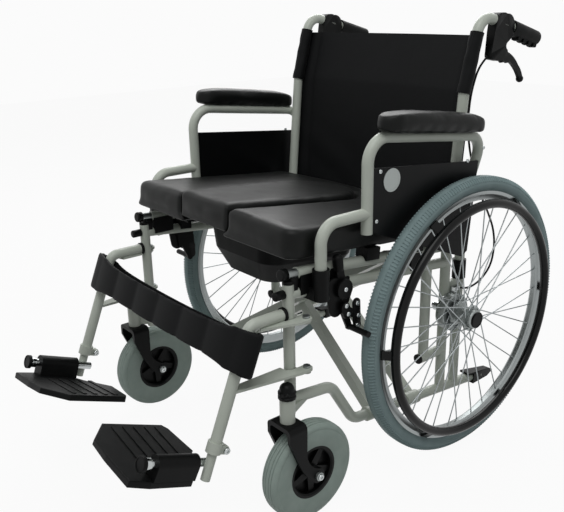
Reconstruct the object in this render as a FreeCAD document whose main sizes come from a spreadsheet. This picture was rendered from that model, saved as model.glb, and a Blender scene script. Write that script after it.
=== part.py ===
# Commode wheelchair: folding tube frame, lift-off padded seat with a plug, slide-out pan
import FreeCAD
import Part
import Sketcher
import math
import os
from types import SimpleNamespace
from FreeCAD import Placement, Rotation, Vector

doc = FreeCAD.newDocument("commode_wheelchair")
sheet = doc.addObject("Spreadsheet::Sheet", "Sizes")

# Driving sizes in millimetres and degrees.
# "ahead" and "behind" are measured from the rear axle, heights from the floor.
SIZES = (
    # Frame tubes
    ("axle_behind", 240.25, "rear axle behind the middle of the chair"),
    ("side_x", 261.0, "side frame from the middle plane"),
    ("tube_dia", 22.2, "frame tube"),
    ("bend_radius", 38.0, "bends in the frame tubes"),
    ("post_ahead", 442.0, "front post"),
    ("post_foot", 223.0, "lower end of the front post"),
    ("post_top", 476.0, "upper end of the front post"),
    ("rail_high", 233.0, "lower rail at the upper corner of its step"),
    ("rail_low", 107.0, "lower rail under the axle"),
    ("rail_step_front", 338.0, "upper corner of the step in the lower rail"),
    ("rail_step_back", 277.0, "lower corner of the step in the lower rail"),
    ("rail_end", 112.0, "lower rail seen behind the axle"),
    ("upper_rail_front", 457.0, "upper rail at the front post"),
    ("upper_rail_back", 413.0, "upper rail at the back cane"),
    ("cane_kink", 440.0, "height where the cane starts to lean"),
    ("cane_lean", 5.3, "lean of the back cane"),
    ("cane_bend", 772.0, "height of the second bend of the cane"),
    ("handle_lean", 15.6, "lean of the cane below the push handle"),
    ("handle_rise", 156.0, "cane from its second bend to the handle corner"),
    ("handle_reach", 190.0, "push handle behind its corner"),
    ("handle_radius", 36.0, "bend into the push handle"),
    ("receiver_behind", 48.0, "tube that takes the rear armrest post"),
    ("receiver_top", 370.0, "top of that tube"),
    ("receiver_bore", 18.8, "bore of that tube"),
    ("receiver_deep", 110.0, "depth of that bore"),
    ("second_ahead", 62.0, "second upright, ahead of the axle"),
    ("spur_height", 205.0, "short tube that joins the second upright to the cane"),
    ("spur_front", 76.0, "front end of that short tube"),
    ("housing_x", 291.0, "caster housing from the middle plane"),
    ("housing_ahead", 474.0, "caster housing ahead of the axle"),
    ("housing_dia", 29.0, "caster housing"),
    ("housing_foot", 222.0, "lower end of the caster housing"),
    ("housing_top", 271.0, "upper end of the caster housing"),
    ("stem_dia", 12.0, "caster stem"),
    ("plate_thick", 5.0, "welded plates"),
    ("clearance", 0.3, "gap between pieces that move past each other"),
    ("pin_fit", 0.08, "radial gap round a hinge pin"),
    # Cross brace and seat rails
    ("brace_width", 20.0, "square tube of the cross brace"),
    ("brace_front_ahead", 219.0, "foot of the front brace arm"),
    ("brace_rear_ahead", 100.0, "foot of the rear brace arm"),
    ("brace_sweep", 64.0, "brace arm runs back by this much on its way up"),
    ("brace_offset", 27.0, "second brace ahead of the first"),
    ("brace_bolt_dia", 10.0, "pivot bolt of the brace"),
    ("foot_sleeve_dia", 30.0, "sleeve of the brace on the lower rail"),
    ("foot_sleeve_long", 40.0, "length of that sleeve"),
    ("sleeve_set_back", 13.0, "sleeves of the second brace behind its arms"),
    ("seat_rail_rise", 37.0, "seat rail above the upper rail"),
    ("seat_rail_front", 424.0, "front end of the seat rail"),
    ("seat_rail_back", 20.0, "rear end of the seat rail, ahead of the axle"),
    ("stub_dia", 17.0, "bright stub at the front of the seat rail"),
    ("stub_long", 24.0, "length of that stub"),
    ("saddle_front", 338.0, "front saddle under the seat rail"),
    ("saddle_back", 112.0, "rear saddle under the seat rail"),
    ("saddle_long", 30.0, "length of a saddle"),
    ("saddle_wide", 24.0, "width of a saddle"),
    ("cap_dia", 23.0, "black cap on a tube end"),
    ("cap_long", 13.0, "length of that cap"),
    ("tip_long", 82.0, "tipping pedal behind the lower rail"),
    ("tip_tall", 30.0, "tipping pedal height"),
    ("tip_wide", 27.0, "tipping pedal width"),
    ("tip_socket", 34.0, "tube held inside the tipping pedal"),
    # Rear wheels
    ("wheel_x", 320.0, "middle of the rear wheel from the middle plane"),
    ("wheel_radius", 305.0, "rear wheel over the tyre"),
    ("tyre_wide", 34.0, "rear tyre"),
    ("tyre_deep", 30.0, "rear tyre from the bead to the tread"),
    ("rim_wide", 25.0, "rim"),
    ("rim_deep", 20.0, "rim from its lip to the spoke bed"),
    ("handrim_out", 31.0, "handrim outside the wheel's middle"),
    ("handrim_radius", 252.0, "handrim to the middle of its tube"),
    ("handrim_dia", 19.0, "handrim tube"),
    ("handrim_tabs", 6, "tabs that hold the handrim"),
    ("hub_dia", 40.0, "hub barrel"),
    ("hub_inner", 276.0, "inner end of the hub"),
    ("hub_outer", 350.0, "outer end of the hub"),
    ("flange_dia", 56.0, "spoke flange of the hub"),
    ("drum_dia", 84.0, "brake drum of the hub"),
    ("drum_wide", 20.0, "width of the brake drum"),
    ("axle_dia", 12.0, "rear axle"),
    ("axle_inner", 233.0, "inner end of the rear axle"),
    ("spoke_count", 36, "spokes in a wheel"),
    ("spoke_dia", 2.6, "spoke"),
    # Casters
    ("caster_radius", 100.0, "caster wheel"),
    ("caster_wide", 44.0, "caster tyre"),
    ("caster_trail", 46.0, "caster axle behind its stem"),
    ("caster_rim", 54.0, "radius of the caster hub under the tyre"),
    ("caster_axle_dia", 10.0, "caster axle bolt"),
    ("fork_wall", 8.0, "blade of the caster fork"),
    ("fork_gap", 3.5, "tyre to fork blade"),
    ("fork_wide", 43.0, "fork blade at the crown"),
    ("fork_foot", 30.0, "fork blade round the axle"),
    ("crown_thick", 9.0, "crown of the fork"),
    # Hangers and foot plates
    ("hinge_x", 284.0, "hanger hinge from the middle plane"),
    ("hinge_ahead", 420.0, "hanger hinge ahead of the axle"),
    ("hinge_pin_dia", 8.0, "hanger hinge pins"),
    ("hinge_high", 406.0, "upper hinge lug, its top"),
    ("hinge_low", 306.0, "lower hinge lug, its top"),
    ("hanger_height", 420.0, "hanger tube where it leaves the post"),
    ("hanger_corner", 531.0, "hanger corner ahead of the axle"),
    ("hanger_pitch", 22.5, "leg tube from the vertical"),
    ("hanger_run", 234.0, "sloping hanger tube below its corner"),
    ("hanger_radius", 22.0, "bend of the hanger tube"),
    ("hanger_bore", 18.4, "bore for the leg tube"),
    ("leg_dia", 18.0, "leg tube"),
    ("leg_inside", 120.0, "leg tube held in the hanger"),
    ("leg_out", 52.0, "leg tube below the hanger"),
    ("collar_dia", 29.0, "clamp collar of the hanger"),
    ("collar_long", 20.0, "length of that collar"),
    ("plate_drop", 24.0, "foot plate hinge below the hanger's end"),
    ("hinge_tube_dia", 16.0, "bright tube that carries the foot plate"),
    ("hinge_tube_long", 132.0, "length of that tube"),
    ("knob_dia", 31.0, "black knob on that tube"),
    ("knob_long", 17.0, "length of that knob"),
    ("plate_toe", 155.0, "foot plate ahead of its leg tube"),
    ("plate_heel", 36.0, "foot plate behind its leg tube"),
    ("plate_reach", 178.0, "foot plate from its hinge to its inner edge"),
    ("plate_tilt", 7.0, "foot plate rises to its inner edge"),
    ("hinge_inset", 12.0, "foot plate hinge inside the leg tube"),
    ("foot_plate_thick", 12.0, "foot plate"),
    ("foot_plate_below", 26.0, "top of the foot plate below its hinge"),
    ("plate_rib", 1.6, "height of the ribs on the foot plate"),
    ("sleeve_long", 86.0, "hinge sleeve of the foot plate"),
    ("sleeve_wide", 32.0, "width of that sleeve"),
    # Armrests
    ("arm_x", 291.0, "armrest tube from the middle plane"),
    ("arm_front", 275.0, "front upright of the armrest"),
    ("arm_front_foot", 541.0, "lower end of that upright"),
    ("arm_top_front", 722.0, "armrest top tube at the front"),
    ("arm_top_back", 684.0, "armrest top tube at the back"),
    ("arm_back", 62.0, "rear corner of the armrest behind the axle"),
    ("arm_elbow", 580.0, "height of the forward elbow"),
    ("arm_leg", 390.0, "front leg of the armrest"),
    ("arm_leg_foot", 446.0, "lower end of the front leg"),
    ("arm_inset", 540.0, "height where the rear post reaches the side frame"),
    ("arm_post_foot", 300.0, "lower end of the rear post"),
    ("arm_post_dia", 18.0, "rear post inside its receiver"),
    ("arm_radius", 46.0, "bends of the armrest"),
    ("pad_long", 294.0, "arm pad"),
    ("pad_wide", 56.0, "arm pad width"),
    ("pad_thick", 37.0, "arm pad thickness at its crown"),
    ("pad_band", 13.0, "upright side of the arm pad"),
    ("pad_front", 258.0, "front end of the arm pad"),
    ("pad_out", 10.0, "arm pad outside its tube"),
    ("pad_round", 6.0, "soft upper edge of the arm pad"),
    ("guard_thick", 4.0, "side guard panel"),
    ("guard_top_front", 664.0, "side guard, upper front corner"),
    ("guard_top_back", 633.0, "side guard, upper rear corner"),
    ("guard_foot", 430.0, "side guard, lowest corner"),
    ("socket_dia", 32.0, "front arm socket"),
    ("socket_long", 34.0, "bracket of the front arm socket"),
    ("socket_foot", 440.0, "front arm socket, lower end"),
    ("socket_top", 499.0, "front arm socket, upper end"),
    ("sleeve_top", 409.0, "top of the rear arm sleeve"),
    ("sleeve_dia", 30.0, "rear arm sleeve"),
    # Seat, plug and pan, in the plane of the seat rails
    ("seat_clip", 17.0, "clips that hold the seat board above its rails"),
    ("seat_half", 278.0, "half the seat's width"),
    ("seat_long", 426.0, "seat, front to back"),
    ("board_thick", 10.0, "seat board"),
    ("cushion_thick", 50.0, "seat cushion"),
    ("crown", 5.0, "rise of the cushion's crown"),
    ("draw_in", 4.0, "how far a cushion's sides are drawn in"),
    ("cushion_round", 13.0, "rounded edge of a cushion"),
    ("opening_half", 85.0, "half the seat opening at the front"),
    ("opening_waist", 106.0, "half the seat opening at its widest"),
    ("opening_long", 380.0, "seat opening, front to back"),
    ("plug_gap", 2.5, "plug to cushion"),
    ("plug_proud", 6.0, "plug above the cushion"),
    ("ledge", 16.0, "board ledge that carries the plug"),
    ("pan_half", 128.0, "half the pan's width at its rim"),
    ("pan_long", 290.0, "pan at its rim, front to back"),
    ("pan_deep", 103.0, "pan depth"),
    ("pan_taper", 46.0, "pan narrows by this much to its floor"),
    ("pan_corner", 42.0, "corner radius of the pan"),
    ("pan_wall", 3.0, "wall of the pan"),
    ("pan_lip", 12.0, "rim of the pan"),
    ("pan_front", 60.0, "pan behind the front of the seat"),
    ("pan_rail_deep", 16.0, "pan rails below the seat board"),
    # Back, push handles and brakes
    ("back_foot", 512.0, "lower edge of the back cloth"),
    ("back_top", 886.0, "upper edge of the back cloth"),
    ("back_sag", 22.0, "how far the back cloth bows to the rear"),
    ("cloth_thick", 4.0, "back cloth"),
    ("cloth_sleeve_dia", 28.8, "sleeve of the back cloth on the cane"),
    ("cloth_over", 7.0, "back cloth outside the middle of the cane"),
    ("grip_from", 106.5, "push grip from the handle corner"),
    ("grip_long", 97.0, "push grip"),
    ("grip_dia", 33.0, "push grip diameter"),
    ("lever_fit", 60.0, "brake lever pivot below the handle tube"),
    ("lever_thick", 8.0, "brake lever"),
    ("lever_pin_dia", 5.0, "pin of the brake lever"),
    ("housing_wide", 24.0, "brake housing"),
    ("cable_dia", 4.5, "brake cable"),
    # Wheel locks
    ("lock_x", 285.0, "wheel lock plate from the middle plane"),
    ("lock_ahead", 332.0, "wheel lock pivot"),
    ("lock_height", 446.0, "height of that pivot"),
    ("lock_pin_dia", 8.0, "wheel lock pivots"),
    ("shoe_below", 84.0, "shoe bar below the lock pivot"),
    ("shoe_gap", 6.0, "shoe to tyre when the lock is off"),
    ("shoe_dia", 12.0, "shoe bar"),
    # Leg strap
    ("strap_tall", 76.0, "leg strap"),
    ("strap_thick", 8.0, "leg strap padding"),
    ("strap_back", 4.0, "leg strap behind the tubes"),
    ("strap_swell", 4.0, "swell of the strap between its seams"),
    ("strap_panels", 6, "sewn panels of the strap"),
    ("strap_drop", 54.0, "middle of the strap below the hanger's corner"),
)
for row, (alias, value, meaning) in enumerate(SIZES, start=1):
    sheet.set(f"A{row}", meaning)
    sheet.set(f"B{row}", str(value))
    sheet.setAlias(f"B{row}", alias)
doc.recompute()
dim = SimpleNamespace(**{alias: float(sheet.get(alias)) for alias, value, meaning in SIZES})

UP = Vector(0, 0, 1)
LEFT = Vector(1, 0, 0)
BACK = Vector(0, 1, 0)
nodes = []


# Places and directions

def at(x, behind, height):
    """Point from the middle plane, the rear axle and the floor."""
    return Vector(x, behind + dim.axle_behind, height)


def slope(degrees):
    """Direction in the side plane that leans back from upright by an angle."""
    angle = math.radians(degrees)
    return Vector(0, math.sin(angle), math.cos(angle))


def turned_to(direction, start):
    """Placement that carries the Z axis on to a direction at a point."""
    return Placement(start, Rotation(UP, direction))


# Document objects

def bind(obj, prop, expression):
    obj.setExpression(prop, expression)
    return obj


def rod(name, start, end, dia):
    """Round bar from one point to another; dia is the name of a size."""
    obj = doc.addObject("Part::Cylinder", name)
    bind(obj, "Radius", f"Sizes.{dia} / 2")
    obj.Height = (end - start).Length
    obj.Placement = turned_to(end - start, start)
    return obj


def ring(name, start, end, outer, inner_radius):
    """Round sleeve; outer is the name of a size."""
    hole = doc.addObject("Part::Cylinder", name + "_bore")
    hole.Radius = inner_radius
    hole.Height = (end - start).Length
    hole.Placement = turned_to(end - start, start)
    return cut(name, rod(name + "_outside", start, end, outer), hole)


def route(points, radius):
    """Straight runs joined by tangent arcs through the inner points."""
    edges = []
    last = points[0]
    for before, corner, after in zip(points, points[1:], points[2:]):
        into = (before - corner).normalize()
        out = (after - corner).normalize()
        half = into.getAngle(out) / 2
        reach = radius / math.tan(half)
        bisector = (into + out).normalize()
        first = corner + into * reach
        second = corner + out * reach
        middle = corner + bisector * (radius / math.sin(half) - radius)
        edges.append(Part.LineSegment(last, first).toShape())
        edges.append(Part.Arc(first, middle, second).toShape())
        last = second
    edges.append(Part.LineSegment(last, points[-1]).toShape())
    return Part.Wire(edges)


def bent(name, points, dia, radius):
    """Round tube bent along a route; dia is the name of a size."""
    path = doc.addObject("Part::Feature", name + "_path")
    path.Shape = route(points, radius)
    section = doc.addObject("Part::Circle", name + "_section")
    bind(section, "Radius", f"Sizes.{dia} / 2")
    section.Placement = turned_to(points[1] - points[0], points[0])
    obj = doc.addObject("Part::Sweep", name)
    obj.Sections = [section]
    obj.Spine = (path, [f"Edge{i + 1}" for i in range(len(path.Shape.Edges))])
    obj.Solid = True
    return obj


def box(name, low, high):
    obj = doc.addObject("Part::Box", name)
    obj.Length, obj.Width, obj.Height = high - low
    obj.Placement.Base = low
    return obj


def cut(name, base, *tools):
    for index, tool in enumerate(tools):
        obj = doc.addObject("Part::Cut", name if index == len(tools) - 1 else f"{name}_cut{index}")
        obj.Base = base
        obj.Tool = tool
        base = obj
    return base


def fuse(name, *shapes):
    obj = doc.addObject("Part::MultiFuse", name)
    obj.Shapes = list(shapes)
    return obj


def group(name, *shapes):
    """Several separate solids kept as one piece of the list."""
    obj = doc.addObject("Part::Compound", name)
    obj.Links = list(shapes)
    return obj


def mirrored(name, source):
    """Right-hand twin of a left-hand piece."""
    obj = doc.addObject("Part::Mirroring", name)
    obj.Source = source
    obj.Base = Vector(0, 0, 0)
    obj.Normal = LEFT
    return obj


def node(obj, name):
    obj.Label = name
    nodes.append(obj)
    return obj


def pair(obj, name):
    """Left-hand piece and its right-hand twin, each a node."""
    node(obj, name + "_left")
    node(mirrored(name + "_twin", obj), name + "_right")
    return obj


def both(name, *shapes):
    """Left-hand pieces and their twins in one node."""
    left = group(name + "_near", *shapes)
    return node(group(name + "_all", left, mirrored(name + "_far", left)), name)


def origin_plane(body, role):
    return next(item for item in body.Origin.OriginFeatures if item.Role == role)


def draw(sketch, outline):
    """Closed outline: points joined by lines, or by an arc through a third point."""
    for start, end in zip(outline, outline[1:] + outline[:1]):
        here = Vector(start[0], start[1], 0)
        there = Vector(end[0], end[1], 0)
        if len(start) == 4:
            sketch.addGeometry(Part.Arc(here, Vector(start[2], start[3], 0), there), False)
        else:
            sketch.addGeometry(Part.LineSegment(here, there), False)


def new_sketch(body, role, outline):
    sketch = body.newObject("Sketcher::SketchObject", body.Name + "_sketch")
    sketch.AttachmentSupport = (origin_plane(body, role), [""])
    sketch.MapMode = "FlatFace"
    draw(sketch, outline)
    return sketch


def padded(name, outline, length, placement, role="XY_Plane", middle=False):
    """Body with one padded outline; length is an expression on the sizes."""
    body = doc.addObject("PartDesign::Body", name)
    sketch = new_sketch(body, role, outline)
    pad = body.newObject("PartDesign::Pad", name + "_pad")
    pad.Profile = sketch
    bind(pad, "Length", length)
    pad.Midplane = middle
    body.Placement = placement
    return body


def spun(name, outline, placement):
    """Body turned about its own Z axis from an outline of radius and height."""
    body = doc.addObject("PartDesign::Body", name)
    sketch = new_sketch(body, "XZ_Plane", outline)
    turn = body.newObject("PartDesign::Revolution", name + "_turn")
    turn.Profile = sketch
    turn.ReferenceAxis = (sketch, ["V_Axis"])
    turn.Angle = 360
    body.Placement = placement
    return body


def rounded(body, radius, picked):
    """Fillet the edges of a body's last feature that a test picks."""
    doc.recompute()
    last = body.Tip
    names = [f"Edge{i + 1}" for i, edge in enumerate(last.Shape.Edges) if picked(edge)]
    fillet = body.newObject("PartDesign::Fillet", body.Name + "_fillet")
    fillet.Base = (last, names)
    bind(fillet, "Radius", radius)
    return body


def softened(name, base, radius, picked):
    """Round the picked edges of a shape."""
    doc.recompute()
    obj = doc.addObject("Part::Fillet", name)
    obj.Base = base
    obj.Edges = [(i + 1, radius, radius) for i, edge in enumerate(base.Shape.Edges) if picked(edge)]
    return obj


def level(edge, height):
    """Whether an edge lies wholly at one local height."""
    box_of = edge.BoundBox
    return abs(box_of.ZMin - height) < 0.01 and abs(box_of.ZMax - height) < 0.01


# Lines that several pieces share

tube = dim.tube_dia / 2
axle = at(0, 0, dim.wheel_radius)
rail_fall = (dim.upper_rail_front - dim.upper_rail_back) / dim.post_ahead
rake = math.degrees(math.atan(rail_fall))
rail_back = Vector(0, 1, -rail_fall).normalize()


def upper_rail_height(behind):
    return dim.upper_rail_back - rail_fall * behind


def lower_rail_height(behind):
    return dim.rail_low - rail_fall * behind


def cane_behind(height):
    """How far the leaning cane stands behind the axle at a height below its second bend."""
    return max(0.0, height - dim.cane_kink) * math.tan(math.radians(dim.cane_lean))


cane_bend_point = at(dim.side_x, cane_behind(dim.cane_bend), dim.cane_bend)
handle_corner = cane_bend_point + slope(dim.handle_lean) * dim.handle_rise
handle_way = slope(dim.handle_lean + 90)
handle_end = handle_corner + handle_way * dim.handle_reach


# Side frame: bent and straight tubes, each coped on to the tube that carries it

def side_frame():
    x = dim.side_x
    post = rod("post", at(x, -dim.post_ahead, dim.post_foot), at(x, -dim.post_ahead, dim.post_top), "tube_dia")
    lower_points = [
        at(x, -dim.post_ahead, dim.rail_high + rail_fall * (dim.post_ahead - dim.rail_step_front)),
        at(x, -dim.rail_step_front, dim.rail_high),
        at(x, -dim.rail_step_back, lower_rail_height(-dim.rail_step_back)),
        at(x, dim.rail_end + dim.tip_socket, lower_rail_height(dim.rail_end + dim.tip_socket)),
    ]
    lower_rail = bent("lower_rail", lower_points, "tube_dia", dim.bend_radius)
    cane_points = [
        at(x, 0, dim.rail_low),
        at(x, 0, dim.cane_kink),
        cane_bend_point,
        handle_corner,
        handle_end,
    ]
    cane = bent("cane", cane_points, "tube_dia", dim.handle_radius)
    upper_rail = rod(
        "upper_rail",
        at(x, -dim.post_ahead, dim.upper_rail_front),
        at(x, 0, dim.upper_rail_back),
        "tube_dia",
    )
    receiver_foot = at(x, dim.receiver_behind, lower_rail_height(dim.receiver_behind))
    receiver_top = at(x, dim.receiver_behind, dim.receiver_top)
    receiver = rod("receiver", receiver_foot, receiver_top, "tube_dia")
    receiver_bore = rod("receiver_bore", receiver_top - UP * dim.receiver_deep, receiver_top, "receiver_bore")
    spur = rod("spur", at(x, -dim.spur_front, dim.spur_height), at(x, 0, dim.spur_height), "tube_dia")
    second = rod(
        "second_upright",
        at(x, -dim.second_ahead, dim.spur_height),
        at(x, -dim.second_ahead, upper_rail_height(-dim.second_ahead)),
        "tube_dia",
    )
    housing_low = at(dim.housing_x, -dim.housing_ahead, dim.housing_foot)
    housing_high = at(dim.housing_x, -dim.housing_ahead, dim.housing_top)
    housing = rod("caster_housing", housing_low, housing_high, "housing_dia")
    stem_bore = doc.addObject("Part::Cylinder", "stem_bore")
    bind(stem_bore, "Radius", "Sizes.stem_dia / 2 + Sizes.pin_fit")
    stem_bore.Height = dim.housing_top - dim.housing_foot
    stem_bore.Placement.Base = housing_low
    axle_half = LEFT * tube
    axle_spot = at(x, 0, dim.wheel_radius)
    axle_hole = rod("axle_hole", axle_spot - axle_half, axle_spot + axle_half, "axle_dia")
    members = [
        cut("post_member", post),
        cut("lower_rail_member", lower_rail, post),
        cut("cane_member", cane, lower_rail, axle_hole),
        cut("upper_rail_member", upper_rail, post, cane),
        cut("receiver_member", receiver, lower_rail, receiver_bore),
        cut("spur_member", spur, cane),
        cut("second_member", second, spur, upper_rail),
        cut("housing_member", housing, stem_bore),
    ]
    members += side_plates(post, cane, receiver, receiver_bore, housing)
    return group("side_frame", *members)


def side_plates(post, cane, receiver, receiver_bore, housing):
    """Gusset of the caster housing, bracket of the receiver, lugs of the hanger hinge."""
    span = Vector(dim.housing_x - dim.side_x, dim.post_ahead - dim.housing_ahead, 0)
    gusset = box("gusset", Vector(0, -dim.stem_dia / 2, 0), Vector(span.Length, dim.stem_dia / 2, 0) + UP * 30)
    gusset.Placement = Placement(
        at(dim.side_x, -dim.post_ahead, dim.housing_foot + 2), Rotation(LEFT, span)
    )
    web_end = at(dim.side_x, -dim.post_ahead + 2 * tube + dim.bend_radius / 2, 0)
    web_way = web_end - at(dim.housing_x, -dim.housing_ahead, 0)
    web_outline = [
        (0, dim.housing_foot + 3),
        (web_way.Length, dim.rail_high - 4),
        (web_way.Length, dim.rail_high + 4),
        (0, dim.rail_high + tube),
    ]
    web_turn = Rotation(web_way, UP, web_way.cross(UP), "XYZ")
    web_place = Placement(web_end - web_way, web_turn)
    web = padded("rail_web", web_outline, "Sizes.plate_thick", web_place, "XY_Plane", True)
    bracket = box(
        "receiver_bracket",
        at(dim.side_x - dim.plate_thick, 0, dim.receiver_top - 34),
        at(dim.side_x + dim.plate_thick, dim.receiver_behind, dim.receiver_top - 4),
    )
    plates = [
        cut("gusset_plate", gusset, post, housing),
        cut("rail_web_plate", web, post, housing, doc.getObject("lower_rail")),
        cut("receiver_plate", bracket, cane, receiver),
    ]
    reach = Vector(dim.hinge_x - dim.side_x, dim.post_ahead - dim.hinge_ahead, 0)
    for name, top in (("lug_high", dim.hinge_high), ("lug_low", dim.hinge_low)):
        half = dim.hinge_pin_dia
        outline = [
            (0, -half),
            (reach.Length, -half, reach.Length + half, 0),
            (reach.Length, half),
            (0, half),
        ]
        place = Placement(at(dim.side_x, -dim.post_ahead, top - dim.plate_thick), Rotation(LEFT, reach))
        lug = padded(name, outline, "Sizes.plate_thick", place)
        hole = rod(name + "_hole", hinge_point(top - dim.plate_thick), hinge_point(top), "hinge_pin_dia")
        plates.append(cut(name + "_plate", lug, post, hole))
    return plates


def hinge_point(height):
    return at(dim.hinge_x, -dim.hinge_ahead, height)


side_frame_left = pair(side_frame(), "side_frame")
upper_rail = doc.getObject("upper_rail")
lower_rail = doc.getObject("lower_rail")
cane = doc.getObject("cane")
post = doc.getObject("post")


# Cross brace: two arms on a shared pivot, with sleeves on one lower rail and a seat rail on the other side

def seat_rail_point(side, behind):
    return at(side * dim.side_x, behind, upper_rail_height(behind) + dim.seat_rail_rise)


def seat_rail_ends(side):
    return seat_rail_point(side, -dim.seat_rail_front), seat_rail_point(side, -dim.seat_rail_back)


def brace_line(side, ahead):
    """Foot and head of a brace arm whose foot is on the given side."""
    foot = at(side * dim.side_x, -ahead, lower_rail_height(-ahead))
    return foot, seat_rail_point(-side, dim.brace_sweep - ahead)


def brace_normal():
    foot, head = brace_line(1, dim.brace_front_ahead)
    twin_foot, twin_head = brace_line(-1, dim.brace_front_ahead)
    return (twin_head - twin_foot).cross(head - foot).normalize()


def brace_arm(name, start, end, across):
    """Square tube between two points, its faces square to the pivot bolt."""
    along = (end - start).normalize()
    arm = doc.addObject("Part::Box", name)
    arm.Length = (end - start).Length
    bind(arm, "Width", "Sizes.brace_width")
    bind(arm, "Height", "Sizes.brace_width")
    turn = Rotation(along, across, along.cross(across), "XYZ")
    corner = turn.multVec(Vector(0, -dim.brace_width / 2, -dim.brace_width / 2))
    arm.Placement = Placement(start + corner, turn)
    return arm


def pivot_point(ahead):
    foot, head = brace_line(1, ahead)
    return (foot + head) * 0.5


def cross_brace(name, side, shift, set_back):
    """One half of the folding brace, moved along the pivot by a shift."""
    across = brace_normal()
    rail = rod(name + "_seat_rail", *seat_rail_ends(-side), "tube_dia")
    pieces = [rail]
    for place, ahead in (("front", dim.brace_front_ahead), ("rear", dim.brace_rear_ahead)):
        foot, head = brace_line(side, ahead)
        arm = brace_arm(f"{name}_{place}", foot + across * shift, head + across * shift, across)
        centre = foot + rail_back * ((across.y * shift + set_back) / rail_back.y)
        half = rail_back * (dim.foot_sleeve_long / 2)
        core = rod(f"{name}_{place}_core", centre - half * 2, centre + half * 2, "foot_sleeve_dia")
        bore = tube + dim.pin_fit
        sleeve = ring(f"{name}_{place}_sleeve", centre - half, centre + half, "foot_sleeve_dia", bore)
        middle = pivot_point(ahead)
        bolt_hole = rod(
            f"{name}_{place}_hole", middle - across * 60, middle + across * 60, "brace_bolt_dia"
        )
        pieces += [cut(f"{name}_{place}_arm", arm, core, rail, bolt_hole), sleeve]
    return group(name, *pieces)


node(cross_brace("brace_a", 1, 0.0, 0.0), "cross_brace_a")
node(cross_brace("brace_b", -1, dim.brace_offset, dim.sleeve_set_back), "cross_brace_b")


# Bright pins: hanger hinge pins, brace pivot bolts and seat rail stubs

def headed_pin(name, start, way, shank, grip, head_radius, head_tall):
    """Pin with one head; grip is the length under the head."""
    outline = [
        (0, 0),
        (shank, 0),
        (shank, grip),
        (head_radius, grip),
        (head_radius, grip + head_tall),
        (0, grip + head_tall),
    ]
    return spun(name, outline, turned_to(way, start))


def brace_bolt(name, ahead):
    """Pivot bolt with a head, a spacer between the arms and a nut."""
    across = brace_normal()
    shank = dim.brace_bolt_dia / 2
    arm = dim.brace_width / 2 + dim.clearance
    gap_end = dim.brace_offset - arm
    far = dim.brace_offset + arm
    head = shank * 1.7
    tall = shank * 1.2
    outline = [
        (0, -arm - tall),
        (head, -arm - tall),
        (head, -arm),
        (shank, -arm),
        (shank, arm),
        (head, arm),
        (head, gap_end),
        (shank, gap_end),
        (shank, far),
        (head, far),
        (head, far + tall),
        (0, far + tall),
    ]
    return spun(name, outline, turned_to(across, pivot_point(ahead)))


rail_way = (seat_rail_ends(1)[0] - seat_rail_ends(1)[1]).normalize()
stub_end = seat_rail_ends(1)[0] + rail_way * dim.stub_long
hinge_pins = [
    headed_pin(
        name,
        hinge_point(top - dim.plate_thick),
        UP,
        dim.hinge_pin_dia / 2,
        2 * dim.plate_thick + 2 * dim.clearance,
        dim.hinge_pin_dia * 0.85,
        dim.hinge_pin_dia / 2,
    )
    for name, top in (("pin_high", dim.hinge_high), ("pin_low", dim.hinge_low))
]
stub = rod("rail_stub", seat_rail_ends(1)[0], stub_end, "stub_dia")
left_pins = group("pins_near", stub, *hinge_pins)
bolts = [brace_bolt("bolt_front", dim.brace_front_ahead), brace_bolt("bolt_rear", dim.brace_rear_ahead)]
node(group("pins_all", left_pins, mirrored("pins_far", left_pins), *bolts), "bright_pins")


# Saddles that carry the seat rails on the upper rails

def saddle(name, ahead):
    block = doc.addObject("Part::Box", name)
    bind(block, "Length", "Sizes.saddle_wide")
    bind(block, "Width", "Sizes.saddle_long")
    bind(block, "Height", "Sizes.seat_rail_rise")
    turn = Rotation(LEFT, -rake)
    start = at(dim.side_x, -ahead, upper_rail_height(-ahead))
    corner = Vector(dim.saddle_wide / 2, dim.saddle_long / 2, 0)
    block.Placement = Placement(start - turn.multVec(corner), turn)
    return cut(name + "_block", block, upper_rail, doc.getObject("brace_b_seat_rail"))


both(
    "seat_rail_saddles",
    saddle("saddle_front_block", dim.saddle_front),
    saddle("saddle_rear_block", dim.saddle_back),
)


# Black caps: seat rail ends, post tops, spur plugs, caster domes, post bumpers and tipping pedals

def cap(name, start, way, radius, length):
    """Round cap with a softened end."""
    soft = length / 4
    outline = [
        (0, 0),
        (radius, 0),
        (radius, length - soft, radius - soft * 0.3, length - soft * 0.3),
        (radius - soft, length),
        (0, length),
    ]
    return spun(name, outline, turned_to(way, start))


def dome():
    """Cap over the caster stem: a ribbed collar under a round top."""
    radius = dim.housing_dia / 2
    collar = radius + 2.5
    outline = [
        (0, 0),
        (collar, 0),
        (collar, radius * 0.36),
        (collar - 1.2, radius * 0.42),
        (collar - 1.2, radius * 0.52),
        (collar, radius * 0.58),
        (collar, radius * 0.86),
        (radius - 0.6, radius),
        (radius - 0.6, radius * 1.1, radius * 0.72, radius * 1.78),
        (radius * 0.25, radius * 2),
        (0, radius * 2),
    ]
    return spun("stem_dome", outline, turned_to(UP, at(dim.housing_x, -dim.housing_ahead, dim.housing_top)))


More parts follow.
